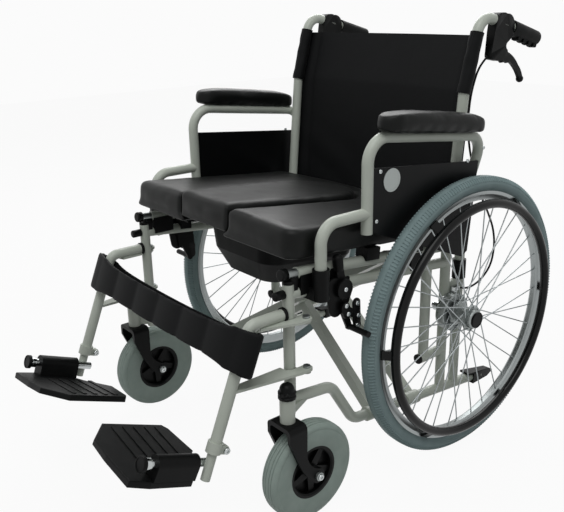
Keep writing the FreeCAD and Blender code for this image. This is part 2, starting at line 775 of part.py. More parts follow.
def tipping_pedal():
    """Foot pedal on the end of the lower rail, flat on top with a wedge nose."""
    top = dim.tip_tall * 0.55
    foot = top - dim.tip_tall
    outline = [
        (-dim.tip_socket * 0.6, tube + 0.6),
        (0, tube + 0.6),
        (0, foot),
        (dim.tip_long * 0.7, foot, dim.tip_long * 0.92, foot * 0.6),
        (dim.tip_long, top * 0.2),
        (dim.tip_long * 0.78, top),
        (-dim.tip_socket * 0.6, top),
    ]
    start = at(dim.side_x - dim.tip_wide / 2, dim.rail_end, lower_rail_height(dim.rail_end))
    place = Placement(start, Rotation(LEFT, -rake))
    pedal = padded("pedal", outline, "Sizes.tip_wide", place, "YZ_Plane")
    return cut("tipping_pedal", pedal, lower_rail)


post_top = at(dim.side_x, -dim.post_ahead, dim.post_top)
bumper = at(dim.side_x, -dim.post_ahead - tube - dim.pin_fit, dim.post_top - 18)
both(
    "end_caps",
    cap("rail_cap", stub_end, rail_way, dim.cap_dia / 2, dim.cap_long),
    cap("post_cap", post_top, UP, tube, dim.cap_long / 2),
    cap("spur_cap", at(dim.side_x, -dim.spur_front, dim.spur_height), -BACK, tube, dim.cap_long / 3),
    cap("post_bumper", bumper, -BACK, dim.stub_dia / 2, dim.cap_long),
    dome(),
    tipping_pedal(),
)


# Rear wheels, drawn about their own axle with height towards the outside

wheel_place = turned_to(LEFT, at(dim.wheel_x, 0, dim.wheel_radius))


def rear_tyre():
    bead = dim.wheel_radius - dim.tyre_deep
    middle = dim.wheel_radius - dim.tyre_deep / 2
    seat = dim.rim_wide / 2 - 1.5
    half = dim.tyre_wide / 2
    bulge = (seat + half) / 2 + 1.3
    outline = [
        (bead, -seat),
        (bead, seat, bead + 6, bulge),
        (middle, half, dim.wheel_radius, 0),
        (middle, -half, bead + 6, -bulge),
    ]
    return spun("rear_tyre", outline, wheel_place)


def rear_rim():
    bead = dim.wheel_radius - dim.tyre_deep
    half = dim.rim_wide / 2
    bed = bead - dim.rim_deep
    outline = [
        (bead, -half),
        (bead, half),
        (bead - 7, half),
        (bed + 3, half * 0.72),
        (bed, half * 0.4),
        (bed, -half * 0.4),
        (bed + 3, -half * 0.72),
        (bead - 7, -half),
    ]
    return spun("rear_rim", outline, wheel_place)


drum_end = dim.hub_inner - dim.wheel_x + dim.drum_wide
barrel_long = dim.hub_outer - dim.wheel_x - drum_end
flange_step = barrel_long * 0.11
inner_flange = drum_end + flange_step
outer_flange = drum_end + barrel_long * 0.74


def rear_hub():
    """Hub with a brake drum inside, two spoke flanges and a closed dust cap."""
    bore = dim.axle_dia / 2 + dim.pin_fit
    start = dim.hub_inner - dim.wheel_x
    end = dim.hub_outer - dim.wheel_x
    drum = dim.drum_dia / 2
    barrel = dim.hub_dia / 2
    flange = dim.flange_dia / 2
    outline = [
        (bore, start),
        (drum - 2, start),
        (drum, start + 2),
        (drum, start + dim.drum_wide - 2),
        (drum - 2, start + dim.drum_wide),
        (barrel, start + dim.drum_wide),
        (barrel, inner_flange - flange_step / 3),
        (flange, inner_flange - flange_step / 3),
        (flange, inner_flange + flange_step / 3),
        (barrel - 3, inner_flange + flange_step),
        (barrel - 3, outer_flange - flange_step),
        (flange, outer_flange - flange_step / 3),
        (flange, outer_flange + flange_step / 3),
        (barrel + 1, outer_flange + flange_step / 3),
        (barrel + 1, end - flange_step * 0.8, barrel - 0.5, end - flange_step * 0.25),
        (barrel - 4, end),
        (0, end),
        (0, outer_flange + flange_step * 0.7),
        (bore, outer_flange + flange_step * 0.7),
    ]
    return spun("rear_hub", outline, wheel_place)


def rear_spokes():
    """Crossed spokes: each flange takes every second one, leaning to and fro in turn."""
    count = int(dim.spoke_count)
    hub_radius = dim.flange_dia / 2 - 4
    rim_radius = dim.wheel_radius - dim.tyre_deep - dim.rim_deep + 3
    spokes = []
    for index in range(count):
        side = 1 if index % 2 else -1
        lean = 1 if (index // 2) % 2 else -1
        rim_angle = math.radians(360 / count * index)
        hub_angle = rim_angle + math.radians(62 * lean)
        flange = outer_flange if side > 0 else inner_flange
        start = Vector(math.cos(hub_angle) * hub_radius, math.sin(hub_angle) * hub_radius, flange + 3 * lean)
        end = Vector(math.cos(rim_angle) * rim_radius, math.sin(rim_angle) * rim_radius, side * 3 + 1.6 * lean)
        spokes.append(rod(f"spoke{index}", wheel_place.multVec(start), wheel_place.multVec(end), "spoke_dia"))
    return group("rear_spokes", *spokes)


def handrim():
    """Push ring on tabs that stand on the side of the rim."""
    hoop = doc.addObject("Part::Torus", "hoop")
    bind(hoop, "Radius1", "Sizes.handrim_radius")
    bind(hoop, "Radius2", "Sizes.handrim_dia / 2")
    hoop.Placement = wheel_place.multiply(Placement(UP * dim.handrim_out, Rotation()))
    face = dim.rim_wide / 2
    bead = dim.wheel_radius - dim.tyre_deep
    out = dim.handrim_out
    outline = [
        (bead - 8, face),
        (bead - 1, face),
        (bead - 1, face + 3),
        (dim.handrim_radius + 9, out - 2),
        (dim.handrim_radius + 2, out + 2),
        (dim.handrim_radius - 2, out - 2),
        (bead - 8, face + 4),
    ]
    tabs = []
    count = int(dim.handrim_tabs)
    for index in range(count):
        turn = Placement(Vector(), Rotation(UP, 360 / count * (index + 0.5)))
        place = wheel_place.multiply(turn)
        tabs.append(padded(f"tab{index}", outline, "Sizes.handrim_dia", place, "XZ_Plane", True))
    return fuse("handrim", hoop, *tabs)


pair(rear_tyre(), "rear_tyre")
pair(rear_rim(), "rear_rim")
pair(rear_hub(), "rear_hub")
pair(rear_spokes(), "rear_spokes")
pair(handrim(), "handrim")


# Fixed axles with a nut inside the frame, a brake back plate and a lug for the cable

def lug_box():
    top = dim.wheel_radius + dim.drum_dia / 2
    x = dim.hub_inner
    return box("cable_lug", at(x - 3.4, 5, top + 2), at(x + 8, 24, top + 11))


def rear_axle():
    shaft = dim.axle_dia / 2
    nut = shaft * 1.8
    plate = dim.drum_dia / 2 - 2
    start = dim.axle_inner
    cane_inside = dim.side_x - tube - start
    hub = dim.hub_inner - start
    outline = [
        (0, 0),
        (shaft, 0),
        (shaft, cane_inside - 10),
        (nut, cane_inside - 10),
        (nut, cane_inside),
        (shaft, cane_inside),
        (shaft, hub - 3.4),
        (plate, hub - 3.4),
        (plate, hub - 0.4),
        (shaft, hub - 0.4),
        (shaft, dim.wheel_x + outer_flange - start),
        (0, dim.wheel_x + outer_flange - start),
    ]
    shaft_body = spun("axle_shaft", outline, turned_to(LEFT, at(start, 0, dim.wheel_radius)))
    top = dim.wheel_radius + dim.drum_dia / 2
    tongue = box("lug_tongue", at(dim.hub_inner - 3.4, 5, top - 20), at(dim.hub_inner - 0.4, 24, top + 6))
    return fuse("rear_axle", shaft_body, tongue, lug_box())


both("rear_axles", rear_axle())


# Casters

caster_place = turned_to(LEFT, at(dim.housing_x, dim.caster_trail - dim.housing_ahead, dim.caster_radius))


def caster_tyre():
    """Solid tyre with full side walls and four fine grooves round the tread."""
    half = dim.caster_wide / 2
    tread = dim.caster_radius
    edge = half * 0.62
    outline = [
        (dim.caster_rim, -half + 3),
        (dim.caster_rim, half - 3, (dim.caster_rim + tread) / 2 - 2, half),
        (tread - half * 0.55, half - 2, tread - half * 0.2, half * 0.84),
        (tread - half * 0.08, edge),
    ]
    for place in (0.5, 0.2, -0.2, -0.5):
        middle = half * place
        radius = tread - half * 0.08 * abs(place)
        outline += [
            (radius, middle + 0.9),
            (radius - 1.4, middle + 0.5),
            (radius - 1.4, middle - 0.5),
            (radius, middle - 0.9),
        ]
    outline += [
        (tread - half * 0.08, -edge, tread - half * 0.2, -half * 0.84),
        (tread - half * 0.55, 2 - half, (dim.caster_rim + tread) / 2 - 2, -half),
    ]
    return spun("caster_tyre", outline, caster_place)


def caster_hub():
    """Wheel centre with a closed web, ribs and a boss on the axle bolt."""
    half = dim.caster_wide / 2
    rim = dim.caster_rim
    hoop_outline = [
        (rim - 8, -half + 6),
        (rim - 5, -half + 3),
        (rim, -half + 3),
        (rim, half - 3),
        (rim - 5, half - 3),
        (rim - 8, half - 6),
    ]
    bore = dim.caster_axle_dia / 2 + dim.pin_fit
    boss = dim.caster_axle_dia * 1.4
    boss_outline = [
        (bore, -half + 1),
        (boss - 2, -half + 1),
        (boss, -half + 4),
        (boss, half - 4),
        (boss - 2, half - 1),
        (bore, half - 1),
    ]
    arm_outline = [
        (boss - 2, -9),
        (rim - 6, -6),
        (rim - 6, 6),
        (boss - 2, 9),
    ]
    web_outline = [
        (boss - 2, -3),
        (rim - 6, -3),
        (rim - 6, 3),
        (boss - 2, 3),
    ]
    turned = (("caster_hoop", hoop_outline), ("caster_boss", boss_outline), ("caster_web", web_outline))
    pieces = [spun(name, outline, caster_place) for name, outline in turned]
    for index in range(5):
        turn = Placement(Vector(), Rotation(UP, 72 * index))
        place = caster_place.multiply(turn)
        arm = padded(f"caster_arm{index}", arm_outline, "Sizes.caster_wide * 0.5", place, "XY_Plane", True)
        pieces.append(arm)
    return fuse("caster_hub", *pieces)


blade_gap = dim.caster_wide / 2 + dim.fork_gap


def caster_fork():
    """Fork with round shoulders and blades swept back to the axle, and the stem that turns in the housing."""
    stem = at(dim.housing_x, -dim.housing_ahead, 0)
    top = dim.housing_foot - dim.clearance
    half = dim.fork_wide / 2
    foot = dim.fork_foot / 2
    axle_y = dim.caster_trail
    axle_z = dim.caster_radius
    blade_outline = [
        (-half, top),
        (half - 2, top),
        (half - 3, axle_z + 58, axle_y - 19, axle_z + 32),
        (axle_y + foot * 0.4, axle_z + foot * 0.917, axle_y + foot * 0.98, axle_z - foot * 0.2),
        (axle_y - foot * 0.53, axle_z - foot * 0.848, axle_y - 32, axle_z + 15),
        (axle_y - 49, axle_z + 50),
        (-half, top - 28),
    ]
    wide = blade_gap + dim.fork_wall
    low = axle_z - foot - 1
    shoulder = dim.fork_wall + 3
    soft = shoulder * 0.293
    inside = top - dim.crown_thick
    arch = shoulder * 0.6
    arch_soft = arch * 0.293
    front_outline = [
        (-wide, low),
        (-wide, top - shoulder, soft - wide, top - soft),
        (shoulder - wide, top),
        (wide - shoulder, top, wide - soft, top - soft),
        (wide, top - shoulder),
        (wide, low),
        (blade_gap, low),
        (blade_gap, inside - arch, blade_gap - arch_soft, inside - arch_soft),
        (blade_gap - arch, inside),
        (arch - blade_gap, inside, arch_soft - blade_gap, inside - arch_soft),
        (-blade_gap, inside - arch),
        (-blade_gap, low),
    ]
    side_place = Placement(stem - LEFT * wide, Rotation())
    side = padded("fork_side", blade_outline, f"{2 * wide}", side_place, "YZ_Plane")
    behind = axle_y + foot + 5
    place = Placement(stem + BACK * behind, Rotation())
    front = padded("fork_front", front_outline, f"{behind + half + 5}", place, "XZ_Plane")
    swept = doc.addObject("Part::Common", "fork_swept")
    swept.Base = front
    swept.Tool = side
    spindle = rod("fork_stem", stem + UP * (top - 2), stem + UP * (dim.housing_top - 1), "stem_dia")
    hole = rod(
        "fork_hole",
        stem + Vector(-wide - 1, axle_y, axle_z),
        stem + Vector(wide + 1, axle_y, axle_z),
        "caster_axle_dia",
    )
    return cut("caster_fork", fuse("fork_body", swept, spindle), hole)


def caster_axle():
    shank = dim.caster_axle_dia / 2
    head = shank * 1.7
    end = blade_gap + dim.fork_wall
    outline = [
        (0, -end - 6),
        (head - 1, -end - 6),
        (head, -end - 5),
        (head, -end),
        (shank, -end),
        (shank, end),
        (head, end),
        (head, end + 5),
        (head - 1, end + 6),
        (0, end + 6),
    ]
    return spun("caster_axle", outline, caster_place)


pair(caster_fork(), "caster_fork")
pair(caster_axle(), "caster_axle")
pair(caster_tyre(), "caster_tyre")
pair(caster_hub(), "caster_hub")


# Swing-away hangers, leg tubes and foot plates

leg_way = slope(dim.hanger_pitch) * -1
hanger_corner = at(dim.side_x, -dim.hanger_corner, dim.hanger_height)
hanger_end = hanger_corner + leg_way * dim.hanger_run


def hanger_plate(name, top, reach):
    """Plate from the hinge pin, round the outside of the post, to the hanger tube."""
    x = dim.side_x
    pin = dim.hinge_pin_dia + 3
    outline = [
        (x - 9, -reach + 6),
        (x + 9, -reach),
        (dim.hinge_x + pin, -dim.hinge_ahead - 20),
        (dim.hinge_x + pin, -dim.hinge_ahead, dim.hinge_x, -dim.hinge_ahead + pin),
        (dim.hinge_x - pin, -dim.hinge_ahead),
        (x + tube + 1.5, -dim.post_ahead - 4),
        (x + 7, -dim.post_ahead - tube - 3),
        (x - 9, -dim.post_ahead - tube - 5),
    ]
    place = Placement(at(0, 0, top + dim.clearance), Rotation())
    return padded(name, outline, "Sizes.plate_thick", place)


def hanger():
    start = at(dim.side_x, -dim.post_ahead - tube - 4, dim.hanger_height)
    bar = bent("hanger_tube", [start, hanger_corner, hanger_end], "tube_dia", dim.hanger_radius)
    collar = rod("hanger_collar", hanger_end - leg_way * dim.collar_long, hanger_end, "collar_dia")
    fall = dim.hanger_height - dim.hinge_low
    low_reach = dim.hanger_corner + fall * math.tan(math.radians(dim.hanger_pitch))
    plates = [
        hanger_plate("hanger_plate_high", dim.hinge_high, dim.hanger_corner - 19),
        hanger_plate("hanger_plate_low", dim.hinge_low, low_reach),
    ]
    whole = fuse("hanger_body", bar, collar, *plates)
    bore = rod("hanger_bore", hanger_end - leg_way * (dim.leg_inside + 2), hanger_end, "hanger_bore")
    pin_hole = doc.addObject("Part::Cylinder", "hanger_pin_hole")
    bind(pin_hole, "Radius", "Sizes.hinge_pin_dia / 2 + Sizes.pin_fit")
    pin_hole.Height = dim.hanger_height - dim.hinge_low
    pin_hole.Placement.Base = hinge_point(dim.hinge_low)
    return cut("hanger", whole, bore, pin_hole)


def leg_tube():
    return rod(
        "leg_tube", hanger_end - leg_way * dim.leg_inside, hanger_end + leg_way * dim.leg_out, "leg_dia"
    )


# The foot plate hinge runs square to the leg, a little inside it
toe_way = slope(dim.hanger_pitch - 90)
plate_hinge = hanger_end + leg_way * dim.plate_drop - LEFT * dim.hinge_inset
plate_place = Placement(plate_hinge, Rotation(LEFT, -dim.hanger_pitch) * Rotation(BACK, dim.plate_tilt))
hinge_front = plate_hinge + toe_way * (dim.hinge_tube_long - 14)


def foot_hinge(leg):
    bar = rod("hinge_bar", plate_hinge - toe_way * 14, hinge_front, "hinge_tube_dia")
    return cut("foot_hinge", bar, leg)


def foot_knob():
    radius = dim.knob_dia / 2
    outline = [
        (0, 0),
        (radius - 3, 0),
        (radius, 4),
        (radius, dim.knob_long * 0.55, radius * 0.76, dim.knob_long * 0.91),
        (radius * 0.3, dim.knob_long),
        (0, dim.knob_long),
    ]
    return spun("foot_knob", outline, turned_to(toe_way, hinge_front))


def footplate():
    """Ribbed plate that hangs from a sleeve on the bright tube."""
    reach = dim.plate_reach
    toe = dim.plate_toe
    heel = dim.plate_heel
    half = dim.sleeve_wide / 2
    sleeve_rear = 22
    sleeve_front = sleeve_rear + dim.sleeve_long
    # Inboard and forward of the hinge are negative in the plate's own frame
    outline = [
        (half, -sleeve_rear - 4),
        (half, -sleeve_front - 4),
        (half / 2, -toe + 3),
        (-reach * 0.4, -toe - 1.7),
        (-reach * 0.7, -toe),
        (-reach, -toe * 0.74),
        (-reach * 0.98, heel * 0.42),
        (-reach * 0.9, heel * 0.66),
        (-reach * 0.45, heel * 0.94),
        (-reach * 0.2, -12),
        (-half, -sleeve_rear),
    ]
    low = -dim.foot_plate_below - dim.foot_plate_thick
    place = plate_place.multiply(Placement(UP * low, Rotation()))
    body = padded("plate", outline, "Sizes.foot_plate_thick", place)
    rounded(body, "2.5", lambda edge: level(edge, dim.foot_plate_thick))
    sleeve_outline = [
        (-half, -dim.foot_plate_below - 1),
        (half, -dim.foot_plate_below - 1),
        (half, 0, 0, half),
        (-half, 0),
    ]
    place = plate_place.multiply(Placement(-BACK * sleeve_rear, Rotation()))
    sleeve = padded("plate_sleeve", sleeve_outline, "Sizes.sleeve_long", place, "XZ_Plane")
    pieces = [body, sleeve]
    for index in range(5):
        y = toe * (0.155 * index - 0.64)
        rib = box(
            f"plate_rib{index}",
            Vector(-reach * 0.92, y - 4, -dim.foot_plate_below - 1),
            Vector(-reach * 0.24, y + 4, -dim.foot_plate_below + dim.plate_rib),
        )
        rib.Placement = plate_place.multiply(rib.Placement)
        pieces.append(rib)
    hole = doc.addObject("Part::Cylinder", "plate_bore")
    bind(hole, "Radius", "Sizes.hinge_tube_dia / 2 + Sizes.pin_fit")
    hole.Height = dim.sleeve_long + 2
    hole.Placement = turned_to(toe_way, plate_hinge + toe_way * (sleeve_rear - 1))
    return cut("footplate", fuse("footplate_body", *pieces), hole)


pair(hanger(), "hanger")
leg = pair(leg_tube(), "leg_tube")
pair(foot_hinge(leg), "foot_hinge")
pair(foot_knob(), "foot_knob")
pair(footplate(), "footplate")


# Lift-off armrests, their pads, side guards and sockets

def arm_points():
    """Front upright, top tube, rear corner and the post that drops into the receiver."""
    return [
        at(dim.arm_x, -dim.arm_front, dim.arm_front_foot),
        at(dim.arm_x, -dim.arm_front, dim.arm_top_front),
        at(dim.arm_x, dim.arm_back, dim.arm_top_back),
        at(dim.side_x, dim.receiver_behind, dim.arm_inset),
        at(dim.side_x, dim.receiver_behind, dim.receiver_top + dim.clearance),
    ]


arm_hoop = bent("arm_hoop", arm_points(), "tube_dia", dim.arm_radius)
arm_leg_points = [
    at(dim.arm_x, -dim.arm_front, dim.arm_elbow),
    at(dim.arm_x, -dim.arm_leg, dim.arm_elbow),
    at(dim.arm_x, -dim.arm_leg, dim.arm_leg_foot),
]
arm_leg = bent("arm_leg", arm_leg_points, "tube_dia", dim.bend_radius)
arm_post_top = at(dim.side_x, dim.receiver_behind, dim.receiver_top + dim.clearance)
arm_post_foot = at(dim.side_x, dim.receiver_behind, dim.arm_post_foot)
arm_post = rod("arm_post", arm_post_foot, arm_post_top, "arm_post_dia")
pair(group("armrest_frame", arm_hoop, cut("arm_leg_member", arm_leg, arm_hoop), arm_post), "armrest_frame")


def arm_pad():
    """Padded rest seated on the top tube: round ends, upright sides and a long low crown."""
    front, back = arm_points()[1:3]
    along = (back - front).normalize()
    half = dim.pad_wide / 2
    long = dim.pad_long
    nose = half * 1.5
    outline = [
        (half, nose),
        (half, long - half, half * 0.707, long - half * 0.293),
        (0, long, -half * 0.707, long - half * 0.293),
        (-half, long - half),
        (-half, nose, -half * 0.707, nose * 0.293),
        (0, 0, half * 0.707, nose * 0.293),
    ]
    start = front + along * (dim.arm_front - dim.pad_front)
    pitch = math.degrees(math.asin(-along.z))
    turn = Rotation(LEFT, -pitch)
    start = start + turn.multVec(UP) * (tube - 2) + LEFT * dim.pad_out
    body = padded("arm_pad_body", outline, "Sizes.pad_thick", Placement(start, turn))
    side_outline = [
        (-1, 0),
        (long + 1, 0),
        (long + 1, dim.pad_band, long * 0.4, dim.pad_thick),
        (-1, dim.pad_band),
    ]
    side_place = Placement(start - LEFT * (half + 1), turn)
    side = padded("arm_pad_side", side_outline, "Sizes.pad_wide + 2", side_place, "YZ_Plane")
    crown = doc.addObject("Part::Common", "arm_pad_crown")
    crown.Base = body
    crown.Tool = side
    up = turn.multVec(UP)
    high = softened(
        "arm_pad_soft", crown, dim.pad_round,
        lambda edge: all((point - start).dot(up) > dim.pad_band - 1 for point in edge.discretize(7)),
    )
    return cut("arm_pad", high, arm_hoop)


def skirt_guard():
    outline = [
        (-dim.arm_front, dim.guard_top_front),
        (-dim.arm_front, dim.arm_front_foot + 4),
        (13 - dim.arm_front, dim.arm_front_foot),
        (12, dim.guard_foot),
        (30, dim.guard_foot + 10),
        (50, dim.guard_top_back),
    ]
    place = Placement(at(dim.arm_x - dim.guard_thick / 2, 0, 0), Rotation())
    panel = padded("guard_panel", outline, "Sizes.guard_thick", place, "YZ_Plane")
    return cut("skirt_guard", panel, arm_hoop)


pair(arm_pad(), "arm_pad")
pair(skirt_guard(), "skirt_guard")


def front_socket():
    """Sleeve for the front leg of the armrest, on a block between the upper rail and the seat rail."""
    half = dim.socket_long / 2
    low = at(dim.arm_x, -dim.arm_leg, dim.socket_foot)
    high = at(dim.arm_x, -dim.arm_leg, dim.socket_top)
    rail = upper_rail_height(-dim.arm_leg)
    foot = box(
        "socket_foot",
        at(dim.side_x, -dim.arm_leg - half, rail - tube),
        at(dim.arm_x, -dim.arm_leg + half, rail + tube),
    )
    bore = doc.addObject("Part::Cylinder", "socket_bore")
    bind(bore, "Radius", "Sizes.tube_dia / 2 + Sizes.clearance")
    bore.Height = dim.socket_top - dim.arm_leg_foot + 1
    bore.Placement.Base = at(dim.arm_x, -dim.arm_leg, dim.arm_leg_foot - 1)
    sleeve = rod("socket_sleeve", low, high, "socket_dia")
    cradle = box(
        "socket_cradle",
        at(dim.side_x - tube - 2, 2 - dim.seat_rail_front, rail),
        at(dim.side_x + tube + 2, -dim.arm_leg + half, rail + dim.seat_rail_rise),
    )
    groove = doc.addObject("Part::Cylinder", "socket_groove")
    bind(groove, "Radius", "Sizes.tube_dia / 2 + Sizes.clearance")
    groove.Height = dim.post_ahead
    groove.Placement = turned_to(rail_back, seat_rail_point(1, -dim.post_ahead))
    return cut("front_socket", fuse("socket_body", sleeve, foot, cradle), bore, upper_rail, groove)


def rear_socket():
    low = at(dim.side_x, dim.receiver_behind, dim.receiver_top - 4)
    high = at(dim.side_x, dim.receiver_behind, dim.sleeve_top)
    return ring("rear_socket", low, high, "sleeve_dia", tube + dim.clearance)


both("arm_sockets", front_socket(), rear_socket())


# Wheel locks: bracket on the upper rail, lever, and a shoe bar that swings to the tyre

lock_pivot = at(0, -dim.lock_ahead, dim.lock_height)
shoe_pivot = at(0, -dim.lock_ahead + 2, dim.lock_height - 38)
lock_face = dim.lock_x - dim.plate_thick


def lock_bracket():
    x = lock_face - dim.plate_thick
    y = -dim.lock_ahead
    z = dim.lock_height
    outline = [
        (y - 18, z - 2),
        (y - 13, z - 52),
        (y + 15, z - 52),
        (y + 30, z - 20),
        (y + 24, z + 16),
        (y - 12, z + 16),
    ]
    place = Placement(at(x, 0, 0), Rotation())
    plate = padded("lock_plate", outline, "Sizes.plate_thick", place, "YZ_Plane")
    rail = upper_rail_height(y)
    clamp = box("lock_clamp", at(dim.side_x + 4, y - 14, rail - tube - 2), at(x + 1, y + 20, rail - 2))
    pieces = [plate, clamp]
    for name, pivot in (("lock_pin", lock_pivot), ("shoe_pin", shoe_pivot)):
        shank = dim.lock_pin_dia / 2
        grip = dim.plate_thick + 2 * dim.clearance
        outline = [
            (0, -1),
            (shank, -1),
            (shank, grip),
            (shank * 1.7, grip),
            (shank * 1.7, grip + 3),
            (0, grip + 3),
        ]
        pieces.append(spun(name, outline, turned_to(LEFT, pivot + LEFT * lock_face)))
    return cut("lock_bracket", fuse("lock_body", *pieces), upper_rail)


def lock_hole(name, pivot):
    hole = doc.addObject("Part::Cylinder", name)
    bind(hole, "Radius", "Sizes.lock_pin_dia / 2 + Sizes.pin_fit")
    hole.Height = dim.plate_thick + 2
    hole.Placement = turned_to(LEFT, pivot + LEFT * (lock_face - 1))
    return hole


def lock_lever():
    outline = [
        (-8, -4, 0, -12),
        (9, -6),
        (8, 20),
        (2, 46),
        (-14, 46),
        (-11, 20),
    ]
    place = Placement(lock_pivot + LEFT * (lock_face + dim.clearance), Rotation())
    plate = padded("lock_handle", outline, "Sizes.plate_thick", place, "YZ_Plane")
    grip_outline = [
        (0, 0),
        (8, 0),
        (9.5, 4),
        (10.5, 22, 8.5, 29),
        (4, 32),
        (0, 32),
    ]
    top = lock_pivot + Vector(lock_face + dim.plate_thick / 2 + dim.clearance, -6, 36)
    knob = spun("lock_knob", grip_outline, turned_to(slope(-9), top))
    return cut("lock_lever", fuse("lock_lever_body", plate, knob), lock_hole("lock_hole", lock_pivot))


def lock_shoe():
    reach = dim.wheel_radius + dim.shoe_gap + dim.shoe_dia / 2
    drop = dim.lock_height - dim.wheel_radius - dim.shoe_below
    bar_y = -math.sqrt(reach * reach - drop * drop)
    bar = at(0, bar_y, dim.wheel_radius + drop)
    end = bar - shoe_pivot
    outline = [
        (-9, 0, 0, 10),
        (9, 0),
        (end.y + 7, end.z, end.y, end.z - 7),
        (end.y - 7, end.z),
    ]
    place = Placement(shoe_pivot + LEFT * (lock_face + dim.clearance), Rotation())
    arm = padded("shoe_arm", outline, "Sizes.plate_thick", place, "YZ_Plane")
    start = bar + LEFT * (lock_face + dim.clearance)
    roller = rod("shoe_bar", start, bar + LEFT * (dim.wheel_x + dim.tyre_wide / 2), "shoe_dia")
    return cut("lock_shoe", fuse("lock_shoe_body", arm, roller), lock_hole("shoe_hole", shoe_pivot))


both("lock_brackets", lock_bracket())
pair(lock_lever(), "lock_lever")
pair(lock_shoe(), "lock_shoe")


# Push grips, brake housings and levers, drawn along the handle and up the cane

handle_turn = Rotation(LEFT, -dim.handle_lean)


def on_handle(along, up, out=0.0):
    return handle_corner + handle_turn.multVec(Vector(out, along, up))


def push_grip():
    """Grip with a flared front and shallow finger swells."""
    radius = dim.grip_dia / 2
    length = dim.grip_long
    inside = dim.handle_reach - dim.grip_from
    outline = [
        (tube, 0),
        (radius, 0),
        (radius, 3),
        (radius - 1, 7),
    ]
    swell = (length - 17) / 4
    for index in range(4):
        start = 7 + swell * index
        outline[-1] = (radius - 1, start, radius + 0.5, start + swell / 2)
        outline.append((radius - 1, start + swell))
    outline[-1] = (radius - 1, length - 10, radius - 4, length - 3)
    outline += [(radius - 9, length), (0, length), (0, inside), (tube, inside)]
    return spun("push_grip", outline, turned_to(handle_way, on_handle(dim.grip_from, 0)))


lever_pivot = (97.0, -dim.lever_fit)


def brake_housing():
    """Clamp block on the handle with a slot for the lever."""
    fit = dim.lever_fit
    outline = [
        (43, 8, 54, 17),
        (70, 19, 92, 17),
        (102, 4, 105, -14),
        (97, -fit + 28, 95, -fit + 20),
        (103, -fit + 13),
        (110, -fit),
        (119, -fit - 10),
        (107, -fit - 14),
        (96, -fit - 9),
        (84, -fit - 15),
        (62, -fit - 17, 50, -fit - 15),
        (45, -fit - 6),
        (41, -24),
    ]
    place = Placement(on_handle(0, 0, -dim.housing_wide / 2), handle_turn)
    body = padded("housing_block", outline, "Sizes.housing_wide", place, "YZ_Plane")
    half = dim.lever_thick / 2 + dim.clearance
    slot = box("lever_slot", Vector(-half, lever_pivot[0] - 15, -fit - 24), Vector(half, 130, -fit + 16))
    slot.Placement = Placement(handle_corner, handle_turn).multiply(slot.Placement)
    pin = rod(
        "lever_pin",
        on_handle(*lever_pivot, -dim.housing_wide / 2),
        on_handle(*lever_pivot, dim.housing_wide / 2),
        "lever_pin_dia",
    )
    return fuse("brake_housing", cut("housing_slotted", body, slot, cane), pin)


def brake_lever():
    """Curved lever with a ball end, pivoted in the housing."""
    a, b = lever_pivot
    outline = [
        (a, b - 11, a - 11, b),
        (a + 3, b + 10.6, a + 36, b + 6),
        (a + 62, b - 7, a + 77, b - 16),
        (a + 88, b - 28),
        (a + 78, b - 33, a + 48, b - 13),
        (a + 16, b - 5),
    ]
    place = Placement(on_handle(0, 0, -dim.lever_thick / 2), handle_turn)
    arm = padded("lever_arm", outline, "Sizes.lever_thick", place, "YZ_Plane")
    ball = doc.addObject("Part::Sphere", "lever_ball")
    bind(ball, "Radius", "Sizes.lever_thick")
    ball.Placement.Base = on_handle(a + 84, b - 32)
    hole = doc.addObject("Part::Cylinder", "lever_hole")
    bind(hole, "Radius", "Sizes.lever_pin_dia / 2 + Sizes.pin_fit")
    hole.Height = dim.lever_thick + 2
    hole.Placement = turned_to(LEFT, on_handle(a, b, -dim.lever_thick / 2 - 1))
    return cut("brake_lever", fuse("lever_body", arm, ball), hole)


both("push_grips", push_grip())
housing = brake_housing()
both("brake_housings", housing)
pair(brake_lever(), "brake_lever")


def flowing(points):
    """Straight runs with the widest arcs that fit, and the tightest radius among them."""
    edges = []
    radii = []
    last = points[0]
    for before, corner, after in zip(points, points[1:], points[2:]):
        into = before - corner
        out = after - corner
        reach = min(into.Length, out.Length) * 0.46
        into.normalize()
        out.normalize()
        half = into.getAngle(out) / 2
        radius = reach * math.tan(half)
        radii.append(radius)
        bisector = (into + out).normalize()
        first = corner + into * reach
        second = corner + out * reach
        middle = corner + bisector * (radius / math.sin(half) - radius)
        edges.append(Part.LineSegment(last, first).toShape())
        edges.append(Part.Arc(first, middle, second).toShape())
        last = second
    edges.append(Part.LineSegment(last, points[-1]).toShape())
    return Part.Wire(edges), min(radii)


def brake_cable():
    """Cable from the housing down the cane, in a loose loop round to the hub brake."""
    cable_points = [
        on_handle(52, -dim.lever_fit - 10),
        at(259, 76, 816),
        at(251, 68, 768),
        at(248, 66, 712),
        at(252, 70, 655),
        at(262, 78, 602),
        at(272, 90, 553),
        at(279, 113, 511),
        at(281, 137, 466),
        at(281, 147, 422),
        at(281, 138, 378),
        at(280, 106, 350),
        at(279, 64, 340),
        at(279, 20, dim.wheel_radius + dim.drum_dia / 2 + 6.5),
    ]
    path = doc.addObject("Part::Feature", "cable_path")
    path.Shape, tightest = flowing(cable_points)
    print("cable diameter", dim.cable_dia, "tightest bend", round(tightest, 1))
    section = doc.addObject("Part::Circle", "cable_section")
    bind(section, "Radius", "Sizes.cable_dia / 2")
    section.Placement = turned_to(cable_points[1] - cable_points[0], cable_points[0])
    cable = doc.addObject("Part::Sweep", "cable")
    cable.Sections = [section]
    cable.Spine = (path, [f"Edge{i + 1}" for i in range(len(path.Shape.Edges))])
    cable.Solid = True
    return cut("brake_cable", cable, housing, doc.getObject("cable_lug"))


both("brake_cables", brake_cable())


# Back cloth stretched between the canes, with sleeves at the top

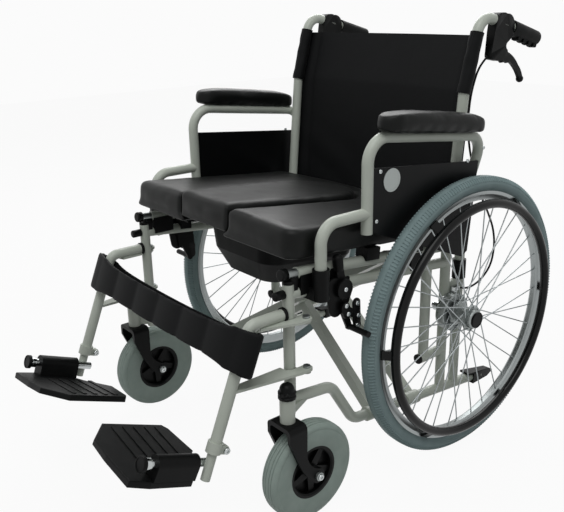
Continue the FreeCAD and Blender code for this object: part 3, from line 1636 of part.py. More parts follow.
def cane_line(height):
    """Middle of the cane at a height."""
    if height <= dim.cane_bend:
        return at(dim.side_x, cane_behind(height), height)
    rise = (height - dim.cane_bend) / math.cos(math.radians(dim.handle_lean))
    return cane_bend_point + slope(dim.handle_lean) * rise


def back_section(height):
    """Bowed strip across the back at one height."""
    lean = dim.cane_lean if height < dim.cane_bend else dim.handle_lean
    front = cane_line(height).y + (tube + dim.clearance) / math.cos(math.radians(lean))
    half = dim.side_x + dim.cloth_over
    thick = dim.cloth_thick
    front_left = Vector(half, front, height)
    front_right = Vector(-half, front, height)
    back_left = front_left + BACK * thick
    back_right = front_right + BACK * thick
    middle = Vector(0, front + dim.back_sag, height)
    wire = Part.Wire([
        Part.Arc(front_right, middle, front_left).toShape(),
        Part.LineSegment(front_left, back_left).toShape(),
        Part.Arc(back_left, middle + BACK * thick, back_right).toShape(),
        Part.LineSegment(back_right, front_right).toShape(),
    ])
    obj = doc.addObject("Part::Feature", f"back_section{round(height)}")
    obj.Shape = wire
    return obj


def back_upholstery():
    sheet_of_cloth = doc.addObject("Part::Loft", "back_sheet")
    sheet_of_cloth.Sections = [back_section(z) for z in (dim.back_foot, dim.cane_bend, dim.back_top)]
    sheet_of_cloth.Solid = True
    sheet_of_cloth.Ruled = True
    low = cane_line(dim.cane_bend + 7)
    high = cane_line(dim.back_top)
    left = rod("cloth_sleeve", low, high, "cloth_sleeve_dia")
    core = doc.addObject("Part::Cylinder", "cloth_sleeve_bore")
    bind(core, "Radius", "Sizes.tube_dia / 2 + Sizes.clearance")
    core.Height = (high - low).Length + 20
    core.Placement = turned_to(high - low, low - (high - low).normalize() * 10)
    sleeves = [left, mirrored("cloth_sleeve_far", left)]
    whole = fuse("back_whole", sheet_of_cloth, *sleeves)
    return cut("back_upholstery", whole, core, mirrored("cloth_bore_far", core))


node(back_upholstery(), "back_upholstery")


# Padded leg strap looped round both hanger tubes

def calf_strap():
    x = dim.side_x
    inside = tube + dim.clearance
    back = inside + dim.strap_back
    front = inside + dim.strap_thick
    end = x + inside + (dim.strap_back + dim.strap_thick) / 2
    panels = int(dim.strap_panels)
    wide = 2 * x / panels
    outline = [(-x, back), (x, back, end, (back - front) / 2)]
    for index in range(panels):
        start = x - wide * index
        outline.append((start, -front, start - wide / 2, -front - dim.strap_swell))
    outline.append((-x, -front, -end, (back - front) / 2))
    inner = [
        (-x, inside),
        (x, inside, x + inside, 0),
        (x, -inside),
        (-x, -inside, -x - inside, 0),
    ]
    centre = hanger_corner + leg_way * dim.strap_drop
    centre.x = 0
    turn = Rotation(LEFT, -dim.hanger_pitch)
    place = Placement(centre, turn)
    outer_body = padded("strap_outer", outline, "Sizes.strap_tall", place, "XY_Plane", True)
    inner_body = padded("strap_inner", inner, "Sizes.strap_tall + 2", place, "XY_Plane", True)
    return cut("calf_strap_loop", outer_body, inner_body)


node(calf_strap(), "calf_strap")


# Seat, plug and pan, drawn in the plane of the seat rails from the front post backwards

seat_normal = slope(rake)
seat_origin = seat_rail_point(0, -dim.post_ahead) + seat_normal * (tube + dim.clearance + dim.seat_clip)
seat_place = Placement(seat_origin, Rotation(LEFT, -rake))
seat_front = -4.0
seat_back = seat_front + dim.seat_long


def raised(height):
    return seat_place.multiply(Placement(UP * height, Rotation()))


def opening_edge(inset, front):
    """Left to right round the seat opening, open at the front."""
    half = dim.opening_half - inset
    waist = dim.opening_waist - inset
    end = dim.opening_long - inset
    shoulder = dim.opening_long - dim.opening_waist * 0.9
    return [
        (half, front),
        (waist, shoulder, 0, end),
        (-waist, shoulder),
        (-half, front),
    ]


def u_outline(half, front, back, inset, corner, draw_in):
    """Outline of a seat with an opening: round outer corners and drawn-in sides."""
    soft = corner * 0.293
    middle = (front + back) / 2
    outline = opening_edge(inset, front)
    outline += [
        (corner - half, front, soft - half, front + soft),
        (-half, front + corner, draw_in - half, middle),
        (-half, back - corner, soft - half, back - soft),
        (corner - half, back),
        (half - corner, back, half - soft, back - soft),
        (half, back - corner, half - draw_in, middle),
        (half, front + corner, half - soft, front + soft),
        (half - corner, front),
    ]
    return outline


def crowned(name, body, half, rise, top, front, back):
    """Trim a tall body to a top that arches across the chair."""
    outline = [
        (-half, -1),
        (half, -1),
        (half, top, 0, top + rise),
        (-half, top),
    ]
    place = seat_place.multiply(Placement(BACK * back, Rotation()))
    arch = padded(name + "_arch", outline, f"{back - front}", place, "XZ_Plane")
    obj = doc.addObject("Part::Common", name + "_crown")
    obj.Base = body
    obj.Tool = arch
    return obj


def above(height):
    """Test for edges that lie wholly above a height over the seat board."""
    def test(edge):
        return all((point - seat_origin).dot(seat_normal) > height for point in edge.discretize(5))
    return test


def seat_board():
    outline = u_outline(dim.seat_half - 4, seat_front, seat_back, dim.ledge, 22, dim.draw_in)
    return padded("seat_board_body", outline, "Sizes.board_thick", seat_place)


def seat_cushion():
    low = dim.board_thick
    top = low + dim.cushion_thick
    outline = u_outline(dim.seat_half, seat_front - 4, seat_back + 4, 0, 30, dim.draw_in)
    tall = padded("cushion_body", outline, "Sizes.cushion_thick + Sizes.crown", raised(low))
    crown = crowned("cushion", tall, dim.seat_half + 1, dim.crown, top - dim.crown, -20, seat_back + 20)
    return softened("cushion", crown, dim.cushion_round, above(top - 2 * dim.crown))


def seat_plug():
    """Cushion that closes the opening, standing a little proud of the seat."""
    low = dim.board_thick + dim.clearance
    top = dim.board_thick + dim.cushion_thick + dim.plug_proud
    outline = opening_edge(dim.plug_gap, seat_front - 4)
    body = padded("plug_body", outline, "Sizes.cushion_thick + Sizes.plug_proud", raised(low))
    return softened("plug", body, dim.cushion_round * 0.8, above(top - 1))


def seat_clip(name, start):
    """Clip under the board that straddles a seat rail."""
    half = tube + 4
    clip = box(
        name,
        Vector(dim.side_x - half, start, -dim.seat_clip - tube * 0.7),
        Vector(dim.side_x + half, start + 2 * tube + 14, 0),
    )
    clip.Placement = seat_place.multiply(clip.Placement)
    groove = doc.addObject("Part::Cylinder", name + "_groove")
    bind(groove, "Radius", "Sizes.tube_dia / 2 + Sizes.clearance")
    groove.Height = dim.post_ahead
    groove.Placement = turned_to(-rail_way, seat_rail_point(1, -dim.post_ahead))
    return cut(name + "_piece", clip, groove)


def pan_rails():
    """Angle rails under the board that carry the pan by its rim, and the clips that seat the board."""
    web = dim.pan_half + 3
    deep = dim.pan_rail_deep
    wall = dim.pan_wall
    outline = [
        (web, 0),
        (web, -deep + wall),
        (dim.pan_half - dim.pan_lip + 2, -deep + wall),
        (dim.pan_half - dim.pan_lip + 2, -deep),
        (web + wall, -deep),
        (web + wall, 0),
    ]
    place = seat_place.multiply(Placement(BACK * (seat_back - 16), Rotation()))
    rail = padded("pan_rail", outline, "Sizes.seat_long - 50", place, "XZ_Plane")
    front = seat_clip("clip_front", dim.seat_long * 0.43)
    rear = seat_clip("clip_rear", dim.seat_long * 0.735)
    left = group("pan_rail_near", rail, front, rear)
    return group("pan_rail_pair", left, mirrored("pan_rail_far", left))


def round_box(name, half, front, back, corner, height):
    """Rounded rectangle across the seat at a height, as a closed wire."""
    soft = corner * 0.293
    points = [
        (half, front + corner),
        (half, back - corner, half - soft, back - soft),
        (half - corner, back),
        (corner - half, back, soft - half, back - soft),
        (-half, back - corner),
        (-half, front + corner, soft - half, front + soft),
        (corner - half, front),
        (half - corner, front, half - soft, front + soft),
    ]
    sketch = doc.addObject("Sketcher::SketchObject", name)
    draw(sketch, points)
    sketch.Placement = raised(height)
    return sketch


def pan_shell(name, grow, top, floor):
    """Tub that keeps its width to half its depth and then tapers to the floor."""
    half = dim.pan_half - dim.pan_lip + grow
    front = dim.pan_front + dim.pan_lip - grow
    back = dim.pan_front + dim.pan_long - dim.pan_lip + grow
    taper = dim.pan_taper - dim.pan_lip
    slight = taper * 0.25
    waist = top + (floor - top) * 0.55
    corner = dim.pan_corner
    tub = doc.addObject("Part::Loft", name)
    tub.Sections = [
        round_box(name + "_top", half, front, back, corner, top),
        round_box(name + "_waist", half - slight, front + slight, back - slight, corner * 0.95, waist),
        round_box(name + "_floor", half - taper, front + taper, back - taper, corner * 0.8, floor),
    ]
    tub.Solid = True
    tub.Ruled = True
    return tub


def commode_pan():
    """Open tub with a flat rim that rides in the rails."""
    wall = dim.pan_wall
    low = -dim.pan_rail_deep + wall + dim.clearance
    top = low + wall
    floor = top - dim.pan_deep
    back = dim.pan_front + dim.pan_long
    rim_wire = round_box("pan_rim_line", dim.pan_half, dim.pan_front, back, dim.pan_corner, low)
    rim = doc.addObject("Part::Extrusion", "pan_rim")
    rim.Base = rim_wire
    rim.Dir = seat_normal
    bind(rim, "LengthFwd", "Sizes.pan_wall")
    rim.Solid = True
    outer = pan_shell("pan_outside", 0.0, top, floor)
    inner = pan_shell("pan_inside", -wall, top + 0.5, floor + wall)
    return cut("pan_tub", fuse("pan_full", rim, outer), inner)


node(seat_board(), "seat_board")
node(seat_cushion(), "seat_cushion")
node(pan_rails(), "pan_rails")
node(seat_plug(), "seat_plug")
node(commode_pan(), "commode_pan")


# Check every object, then write one file for each node

doc.recompute()
for obj in doc.Objects:
    if "Invalid" in obj.State or "Error" in obj.State:
        raise RuntimeError(f"{obj.Name} did not build: {obj.State}")
for obj in nodes:
    if obj.Shape.isNull() or not obj.Shape.isValid() or not obj.Shape.Solids:
        raise RuntimeError(f"{obj.Label} is not a sound solid")

os.makedirs("parts", exist_ok=True)
whole_box = FreeCAD.BoundBox()
for obj in nodes:
    obj.Shape.exportStep(f"parts/{obj.Label}.step")
    whole_box.add(obj.Shape.optimalBoundingBox(False, False))
print("nodes", len(nodes))
print("span x", round(whole_box.XMin, 1), round(whole_box.XMax, 1))
print("span y", round(whole_box.YMin, 1), round(whole_box.YMax, 1))
print("span z", round(whole_box.ZMin, 1), round(whole_box.ZMax, 1))
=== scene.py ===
# Commode wheelchair: finishes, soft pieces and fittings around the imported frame
import bpy
import math
from mathutils import Matrix, Vector


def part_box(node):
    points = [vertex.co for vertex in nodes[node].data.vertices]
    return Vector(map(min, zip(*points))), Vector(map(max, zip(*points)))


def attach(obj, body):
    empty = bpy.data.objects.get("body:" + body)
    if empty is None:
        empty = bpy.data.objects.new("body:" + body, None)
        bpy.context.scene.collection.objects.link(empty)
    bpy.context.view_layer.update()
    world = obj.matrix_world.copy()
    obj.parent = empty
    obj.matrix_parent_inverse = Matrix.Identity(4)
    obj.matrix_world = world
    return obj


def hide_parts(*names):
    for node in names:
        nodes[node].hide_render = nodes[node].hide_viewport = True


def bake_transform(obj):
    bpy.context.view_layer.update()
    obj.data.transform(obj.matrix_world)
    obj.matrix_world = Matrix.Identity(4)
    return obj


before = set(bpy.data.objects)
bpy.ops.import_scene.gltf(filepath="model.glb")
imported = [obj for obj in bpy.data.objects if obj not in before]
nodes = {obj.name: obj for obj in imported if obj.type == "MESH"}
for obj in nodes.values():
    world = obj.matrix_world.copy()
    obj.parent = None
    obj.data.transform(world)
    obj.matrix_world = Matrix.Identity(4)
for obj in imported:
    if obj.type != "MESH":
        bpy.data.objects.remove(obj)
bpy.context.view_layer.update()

# Sides of the chair, with the sign of their x
SIDES = (("left", 1), ("right", -1))

# Places shared with the part's source, in metres: y grows to the rear, the axle stands behind the middle
AXLE = 0.24025
SIDE_X = 0.261
WHEEL_X = 0.320
WHEEL_RADIUS = 0.305
SEAT_FALL = math.atan(44 / 442)
SEAT_UP = Vector((0, math.sin(SEAT_FALL), math.cos(SEAT_FALL)))

# Leg tubes lean forward as they go down
LEG_PITCH = math.radians(22.5)
LEG_DOWN = Vector((0, -math.sin(LEG_PITCH), -math.cos(LEG_PITCH)))
LEG_REAR = Vector((0, math.cos(LEG_PITCH), -math.sin(LEG_PITCH)))

# Back canes lean a little from the upper rail to the knee, and more above it, up to the push handle
LOWER_CANE_Z = 0.440
LOWER_CANE_LEAN = math.radians(5.3)
CANE_LEAN = math.radians(15.6)
CANE_UP = Vector((0, math.sin(CANE_LEAN), math.cos(CANE_LEAN)))
CANE_KNEE_Z = 0.772
CANE_KNEE = Vector((SIDE_X, AXLE + (CANE_KNEE_Z - LOWER_CANE_Z) * math.tan(LOWER_CANE_LEAN), CANE_KNEE_Z))
HANDLE_RISE = 0.156
HANDLE = CANE_KNEE + CANE_UP * HANDLE_RISE
HANDLE_WAY = Vector((0, math.cos(CANE_LEAN), -math.sin(CANE_LEAN)))


# Finishes

WHITE = (1.0, 1.0, 1.0, 1.0)
# A wave texture repeats after about this much of its scale
WAVE_TURN = 6.28


def paint(hex_value):
    """sRGB hex to linear colour."""
    channels = [int(hex_value[i:i + 2], 16) / 255 for i in (1, 3, 5)]
    linear = [c / 12.92 if c <= 0.04045 else ((c + 0.055) / 1.055) ** 2.4 for c in channels]
    return (*linear, 1.0)


def add(owner, kind, settings=None, **links):
    """Add one node with its settings, and link its inputs, by name or as in0 and in1, to outputs."""
    tree = owner.node_tree
    made = tree.nodes.new(kind)
    for key, value in (settings or {}).items():
        if isinstance(key, int) or key in made.inputs:
            made.inputs[key].default_value = value
        else:
            setattr(made, key, value)
    for key, source in links.items():
        numbered = key.startswith("in") and key[2:].isdigit()
        tree.links.new(source, made.inputs[int(key[2:]) if numbered else key])
    return made


def join(owner, source, target):
    owner.node_tree.links.new(source, target)


def finish(name, colour, roughness, metallic=0.0, **sockets):
    """A new material with its constants set on the shader's own sockets."""
    material = bpy.data.materials.new(name)
    material.use_nodes = True
    shader = material.node_tree.nodes["Principled BSDF"]
    shader.inputs["Base Color"].default_value = paint(colour)
    shader.inputs["Roughness"].default_value = roughness
    shader.inputs["Metallic"].default_value = metallic
    for key, value in sockets.items():
        shader.inputs[key.replace("_", " ")].default_value = value
    material.diffuse_color = paint(colour)
    return material, shader


def per_metre(millimetres):
    """Pattern scale whose features are about so many millimetres wide."""
    return 1000.0 / millimetres


def powder_coat():
    """Grey polyester powder baked on steel: satin, with a faint orange-peel skin that softens reflections."""
    material, shader = finish(
        "powder_coated_steel", "#BBC5B8", 0.4, Specular_IOR_Level=0.3, Coat_Weight=0.1, Coat_Roughness=0.25
    )
    place = add(material, "ShaderNodeTexCoord").outputs["Object"]
    # Orange peel is about 1 mm; drawn at 3 mm so that it shows
    peel = add(material, "ShaderNodeTexNoise", {"Scale": per_metre(3.0), "Detail": 2.0}, Vector=place)
    skin = add(material, "ShaderNodeBump", {"Strength": 0.12, "Distance": 0.0004}, Height=peel.outputs["Fac"])
    join(material, skin.outputs["Normal"], shader.inputs["Normal"])
    # Handling dulls the coat in patches some 70 mm wide
    patches = add(material, "ShaderNodeTexNoise", {"Scale": per_metre(70.0), "Detail": 3.0}, Vector=place)
    tint = add(material, "ShaderNodeValToRGB", Fac=patches.outputs["Fac"])
    tint.color_ramp.elements[0].color = paint("#B5BCB1")
    tint.color_ramp.elements[1].color = paint("#C3C9BF")
    join(material, tint.outputs["Color"], shader.inputs["Base Color"])
    spread = {"To Min": 0.30, "To Max": 0.44}
    gloss = add(material, "ShaderNodeMapRange", spread, Value=patches.outputs["Fac"])
    join(material, gloss.outputs["Result"], shader.inputs["Roughness"])
    return material


def bright_plating(name, colour, roughness):
    """Bright metal on steel: mirror-like to satin, with a faint haze from polishing."""
    material, shader = finish(name, colour, roughness, 1.0)
    place = add(material, "ShaderNodeTexCoord").outputs["Object"]
    haze = add(material, "ShaderNodeTexNoise", {"Scale": per_metre(9.0), "Detail": 4.0}, Vector=place)
    spread = {"To Min": roughness * 0.65, "To Max": roughness * 1.5}
    polish = add(material, "ShaderNodeMapRange", spread, Value=haze.outputs["Fac"])
    join(material, polish.outputs["Result"], shader.inputs["Roughness"])
    return material


def rolled_alloy():
    """Rolled aluminium rim: satin, with fine lines left by the rolls."""
    material, shader = finish("rolled_aluminium", "#969B9B", 0.34, 1.0)
    place = add(material, "ShaderNodeTexCoord").outputs["Object"]
    # Roll lines are about 0.5 mm; drawn at 1.2 mm so that they show
    drawn = {"Scale": per_metre(1.2) / WAVE_TURN, "Distortion": 1.0, "bands_direction": "X"}
    lines = add(material, "ShaderNodeTexWave", drawn, Vector=place)
    relief = {"Strength": 0.06, "Distance": 0.0002}
    scored = add(material, "ShaderNodeBump", relief, Height=lines.outputs["Fac"])
    join(material, scored.outputs["Normal"], shader.inputs["Normal"])
    return material


def badge_plate():
    """Brushed aluminium disc: pale grey, between satin and matt."""
    return finish("brushed_badge_plate", "#A4AAA8", 0.38, 0.6)[0]


def grey_rubber(name, colour, dusty, roughness):
    """Non-marking grey rubber: dull, with a bloom of dust that lightens it in cloudy patches."""
    material, shader = finish(name, colour, roughness, Specular_IOR_Level=0.2)
    place = add(material, "ShaderNodeTexCoord").outputs["Object"]
    bloom = add(material, "ShaderNodeTexNoise", {"Scale": per_metre(28.0), "Detail": 6.0}, Vector=place)
    tint = add(material, "ShaderNodeValToRGB", Fac=bloom.outputs["Fac"])
    tint.color_ramp.elements[0].position = 0.3
    tint.color_ramp.elements[0].color = paint(colour)
    tint.color_ramp.elements[1].position = 0.72
    tint.color_ramp.elements[1].color = paint(dusty)
    join(material, tint.outputs["Color"], shader.inputs["Base Color"])
    grain = add(material, "ShaderNodeTexNoise", {"Scale": per_metre(1.5), "Detail": 2.0}, Vector=place)
    relief = {"Strength": 0.15, "Distance": 0.0003}
    skin = add(material, "ShaderNodeBump", relief, Height=grain.outputs["Fac"])
    join(material, skin.outputs["Normal"], shader.inputs["Normal"])
    return material


def moulded_black(name, colour, roughness, grain_mm, depth):
    """Injection-moulded black plastic: a spark-eroded grain breaks up the highlights."""
    material, shader = finish(name, colour, roughness, IOR=1.53, Specular_IOR_Level=0.09)
    place = add(material, "ShaderNodeTexCoord").outputs["Object"]
    eroded = {"Scale": per_metre(grain_mm), "feature": "SMOOTH_F1"}
    grain = add(material, "ShaderNodeTexVoronoi", eroded, Vector=place)
    relief = {"Strength": 0.2, "Distance": depth}
    skin = add(material, "ShaderNodeBump", relief, Height=grain.outputs["Distance"])
    join(material, skin.outputs["Normal"], shader.inputs["Normal"])
    scuffs = add(material, "ShaderNodeTexNoise", {"Scale": per_metre(22.0), "Detail": 5.0}, Vector=place)
    spread = {"To Min": roughness - 0.08, "To Max": roughness + 0.1}
    gloss = add(material, "ShaderNodeMapRange", spread, Value=scuffs.outputs["Fac"])
    join(material, gloss.outputs["Result"], shader.inputs["Roughness"])
    return material


def gloss_coat():
    """Glossy black coating on the push rings: deep black under a clear skin, worn a little by hands."""
    material, shader = finish(
        "black_gloss_coating", "#060707", 0.2, Specular_IOR_Level=0.12, Coat_Weight=0.12, Coat_Roughness=0.08
    )
    place = add(material, "ShaderNodeTexCoord").outputs["Object"]
    wear = add(material, "ShaderNodeTexNoise", {"Scale": per_metre(35.0), "Detail": 5.0}, Vector=place)
    gloss = add(material, "ShaderNodeMapRange", {"To Min": 0.14, "To Max": 0.34}, Value=wear.outputs["Fac"])
    join(material, gloss.outputs["Result"], shader.inputs["Roughness"])
    return material


def black_vinyl():
    """PVC upholstery: embossed pebble grain, soft sheen, creased where it is pulled round an edge."""
    material, shader = finish(
        "black_upholstery_vinyl", "#0A0C0B", 0.42, IOR=1.5, Specular_IOR_Level=0.15,
        Sheen_Weight=0.02, Sheen_Roughness=0.5,
    )
    place = add(material, "ShaderNodeTexCoord").outputs["Object"]
    # Pebbles are about 1 mm; drawn at 2.2 mm so that they show
    embossed = {"Scale": per_metre(2.2), "feature": "SMOOTH_F1"}
    pebbles = add(material, "ShaderNodeTexVoronoi", embossed, Vector=place)
    crease = add(material, "ShaderNodeTexNoise", {"Scale": per_metre(45.0), "Detail": 3.0}, Vector=place)
    low = add(material, "ShaderNodeBump", {"Strength": 0.12, "Distance": 0.002}, Height=crease.outputs["Fac"])
    skin = add(
        material, "ShaderNodeBump", {"Strength": 0.22, "Distance": 0.0004},
        Height=pebbles.outputs["Distance"], Normal=low.outputs["Normal"],
    )
    join(material, skin.outputs["Normal"], shader.inputs["Normal"])
    gloss = add(material, "ShaderNodeMapRange", {"To Min": 0.34, "To Max": 0.5}, Value=crease.outputs["Fac"])
    join(material, gloss.outputs["Result"], shader.inputs["Roughness"])
    return material


def black_nylon(name, colour):
    """Coated woven nylon: a plain weave that catches light on the crowns of its threads."""
    material, shader = finish(
        name, colour, 0.62, Specular_IOR_Level=0.1, Sheen_Weight=0.02, Sheen_Roughness=0.4
    )
    place = add(material, "ShaderNodeTexCoord").outputs["Object"]
    # Threads are about 0.6 mm; drawn at 1.6 mm so that they show
    thread = {"Scale": per_metre(1.6) / WAVE_TURN}
    across = add(material, "ShaderNodeTexWave", {**thread, "bands_direction": "X"}, Vector=place)
    along = add(material, "ShaderNodeTexWave", {**thread, "bands_direction": "Z"}, Vector=place)
    weave = add(
        material, "ShaderNodeMath", {"operation": "MULTIPLY"},
        in0=across.outputs["Fac"], in1=along.outputs["Fac"],
    )
    crease = add(material, "ShaderNodeTexNoise", {"Scale": per_metre(60.0), "Detail": 4.0}, Vector=place)
    low = add(material, "ShaderNodeBump", {"Strength": 0.3, "Distance": 0.003}, Height=crease.outputs["Fac"])
    skin = add(
        material, "ShaderNodeBump", {"Strength": 0.3, "Distance": 0.0003},
        Height=weave.outputs["Value"], Normal=low.outputs["Normal"],
    )
    join(material, skin.outputs["Normal"], shader.inputs["Normal"])
    return material


FRAME_COAT = powder_coat()
PLATING = bright_plating("nickel_chrome_plating", "#B4B8B8", 0.16)
ZINC = bright_plating("zinc_plated_steel", "#8F9493", 0.42)
WIRE = bright_plating("drawn_steel_wire", "#A0A5A6", 0.3)
RIM_ALLOY = rolled_alloy()
BADGE_PLATE = badge_plate()
TYRE_RUBBER = grey_rubber("grey_tyre_rubber", "#7C8F90", "#86999A", 0.6)
CASTER_RUBBER = grey_rubber("grey_caster_rubber", "#93A29B", "#9FADA6", 0.55)
FITTING_PLASTIC = moulded_black("black_moulded_nylon", "#0B0C0C", 0.42, 1.6, 0.0002)
GUARD_PLASTIC = moulded_black("black_guard_panel", "#0C0D0E", 0.36, 2.0, 0.0001)
GRIP_RUBBER = moulded_black("black_grip_rubber", "#0D0E0E", 0.6, 1.4, 0.0003)
PAN_PLASTIC = moulded_black("black_moulded_polypropylene", "#0F1010", 0.45, 2.4, 0.0002)
CASTER_PLASTIC = moulded_black("black_caster_centre", "#0C0D0D", 0.4, 1.8, 0.0002)
BOARD_PAINT = moulded_black("black_sealed_board", "#100F0F", 0.6, 3.0, 0.0003)
GLOSS_BLACK = gloss_coat()
VINYL = black_vinyl()
BACK_NYLON = black_nylon("black_coated_nylon", "#0F1011")
STRAP_NYLON = black_nylon("black_quilted_nylon", "#0B0C0D")

NODE_FINISH = {
    "side_frame": FRAME_COAT, "cross_brace_a": FRAME_COAT, "cross_brace_b": FRAME_COAT, "bright_pins": ZINC,
    "seat_rail_saddles": FITTING_PLASTIC, "end_caps": FITTING_PLASTIC, "arm_sockets": FITTING_PLASTIC,
    "push_grips": GRIP_RUBBER, "brake_housings": FITTING_PLASTIC, "brake_cables": FITTING_PLASTIC,
    "back_upholstery": BACK_NYLON, "lock_brackets": FITTING_PLASTIC, "rear_axles": PLATING,
    "calf_strap": STRAP_NYLON, "seat_board": BOARD_PAINT, "seat_cushion": VINYL, "pan_rails": FITTING_PLASTIC,
    "seat_plug": VINYL, "commode_pan": PAN_PLASTIC, "rear_tyre": TYRE_RUBBER, "rear_rim": RIM_ALLOY,
    "rear_hub": ZINC, "rear_spokes": WIRE, "handrim": GLOSS_BLACK, "caster_fork": FITTING_PLASTIC,
    "caster_axle": ZINC, "caster_tyre": CASTER_RUBBER, "caster_hub": CASTER_PLASTIC, "hanger": FRAME_COAT,
    "leg_tube": FRAME_COAT, "foot_hinge": PLATING, "foot_knob": FITTING_PLASTIC, "footplate": FITTING_PLASTIC,
    "armrest_frame": FRAME_COAT, "arm_pad": VINYL, "skirt_guard": GUARD_PLASTIC,
    "brake_lever": FITTING_PLASTIC, "lock_lever": FITTING_PLASTIC, "lock_shoe": FITTING_PLASTIC,
}
for name, obj in nodes.items():
    kind = name.rsplit("_", 1)[0] if name.endswith(("_left", "_right")) else name
    obj.data.materials.clear()
    obj.data.materials.append(NODE_FINISH[kind])

# Looks of the new pieces: a finish and the name of a slot, which the script does not use
LOOK_PLASTIC = (FITTING_PLASTIC, "black_plastic")
LOOK_BRIGHT = (PLATING, "bright_steel")
LOOK_BADGE = (BADGE_PLATE, "bright_steel")
LOOK_FRAME = (FRAME_COAT, "frame_paint")
LOOK_TYRE = (TYRE_RUBBER, "grey_tyre")
LOOK_GRIP = (GRIP_RUBBER, "grip_rubber")
LOOK_VINYL = (VINYL, "black_vinyl")
LOOK_BACK = (BACK_NYLON, "black_cloth")
LOOK_STRAP = (STRAP_NYLON, "black_cloth")


# Ways of working on a mesh

# Corners of a CAD mesh's loose triangles meet within this distance
WELD = 0.00002
# Differences below this come from rounding
TINY = 1e-6
# Places within this distance are level with each other
NEAR = 1e-4
# A face points a way when its normal has this share along it
FACING = 0.9


def corners(node):
    """Low and high corner of a CAD node's box."""
    return [Vector(corner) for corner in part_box(node)]


def on_side(point, sign):
    """A place on the left side, or its mirror image on the right."""
    return Vector((point[0] * sign, point[1], point[2]))


def beside(x, spot):
    """A place at x from its distance behind the axle and its height."""
    return Vector((x, AXLE + spot[0], spot[1]))


def opened(name, add_primitive, **settings):
    """Add a primitive at its size and place, name it, and open it for editing with nothing selected."""
    bpy.ops.object.select_all(action="DESELECT")
    add_primitive(**settings)
    piece = bpy.context.object
    piece.name = name
    piece.data.name = name
    bpy.ops.object.transform_apply(location=True, rotation=True, scale=True)
    bpy.ops.object.mode_set(mode="EDIT")
    bpy.ops.mesh.select_all(action="DESELECT")
    return piece


def pick(piece, test):
    """Select the faces whose middle and normal pass a test."""
    bpy.ops.mesh.select_all(action="DESELECT")
    bpy.ops.mesh.select_mode(type="FACE")
    bpy.ops.object.mode_set(mode="OBJECT")
    for face in piece.data.polygons:
        face.select = test(face.center, face.normal)
    bpy.ops.object.mode_set(mode="EDIT")


def pick_facing(piece, way):
    """Select the faces that point a way."""
    pick(piece, lambda centre, normal: normal.dot(way) > FACING)


def pick_edges(piece, test):
    """Select the edges whose two ends pass a test."""
    bpy.ops.mesh.select_all(action="DESELECT")
    bpy.ops.mesh.select_mode(type="EDGE")
    bpy.ops.object.mode_set(mode="OBJECT")
    points = piece.data.vertices
    for edge in piece.data.edges:
        edge.select = test(*(points[i].co for i in edge.vertices))
    bpy.ops.object.mode_set(mode="EDIT")


def alone(piece):
    """Leave edit mode with only this piece selected and active."""
    if bpy.context.object and bpy.context.object.mode == "EDIT":
        bpy.ops.object.mode_set(mode="OBJECT")
    bpy.ops.object.select_all(action="DESELECT")
    piece.select_set(True)
    bpy.context.view_layer.objects.active = piece


def all_picked(piece):
    """Open a piece for editing with everything selected."""
    alone(piece)
    bpy.ops.object.mode_set(mode="EDIT")
    bpy.ops.mesh.select_all(action="SELECT")


def joined(piece, others):
    """Make other pieces part of this one."""
    alone(piece)
    for other in others:
        other.select_set(True)
    bpy.ops.object.join()


def merged(piece):
    """Merge the loose triangles of a CAD mesh."""
    all_picked(piece)
    bpy.ops.mesh.remove_doubles(threshold=WELD)
    alone(piece)
    return piece


def changed(piece, kind, **settings):
    """Add a modifier and apply it."""
    alone(piece)
    modifier = piece.modifiers.new(kind.lower(), kind)
    for key, value in settings.items():
        setattr(modifier, key, value)
    bpy.ops.object.modifier_apply(modifier=modifier.name)


def settled(piece, body, look, angle=38.0):
    """Smooth the shading, give the piece its look and hand it to its body, if it has just one."""
    material, slot = look
    alone(piece)
    bpy.ops.object.shade_smooth_by_angle(angle=math.radians(angle))
    piece.data.materials.clear()
    piece.data.materials.append(material)
    if body:
        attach(piece, body)
    return piece


def copied(source, name):
    """A second object with its own mesh."""
    piece = bpy.data.objects.new(name, source.data.copy())
    bpy.context.scene.collection.objects.link(piece)
    return piece


# Cushions and pads

# The seat's vinyl is stretched by this share from its rear edge, so that it stands proud of the front
SEAT_BACK = corners("seat_cushion")[1].y
SEAT_EASE = 0.014
# Stuffing: cloth pressure and frames, the share of the cap that the skin is drawn in by before it swells
PRESSURE = 3.0
CLOTH_FRAMES = 20
DRAWN_IN = 0.35
# Points this near to the underside stay flat
REST_BAND = 0.004
# Arm pads: slices along the pad, how far and how late the ends drop, and the least height that is filled out
PAD_SLICES = 24
PAD_END_DROP = 0.28
PAD_END_POWER = 8
PAD_LEAST = 0.45


def remeshed(name, node, voxel, under=None):
    """The CAD solid's mesh in a new object, as one even skin, with a board that it wraps if one is named."""
    piece = copied(nodes[node], name)
    if under:
        low, high = corners(node)
        thin, wide = corners(under)
        wider = (high.x - low.x) / (wide.x - thin.x)
        longer = (high.y - low.y) / (wide.y - thin.y)
        grow = Matrix.Diagonal((wider, longer, 1, 1))
        middle = (thin + wide) / 2
        board = copied(nodes[under], name + "_board")
        board.data.transform(Matrix.Translation(middle) @ grow @ Matrix.Translation(-middle))
        joined(piece, [board])
    merged(piece)
    changed(piece, "REMESH", mode="VOXEL", voxel_size=voxel)
    if node.startswith("seat"):
        for vertex in piece.data.vertices:
            vertex.co.y += (vertex.co.y - SEAT_BACK) * SEAT_EASE
    return piece


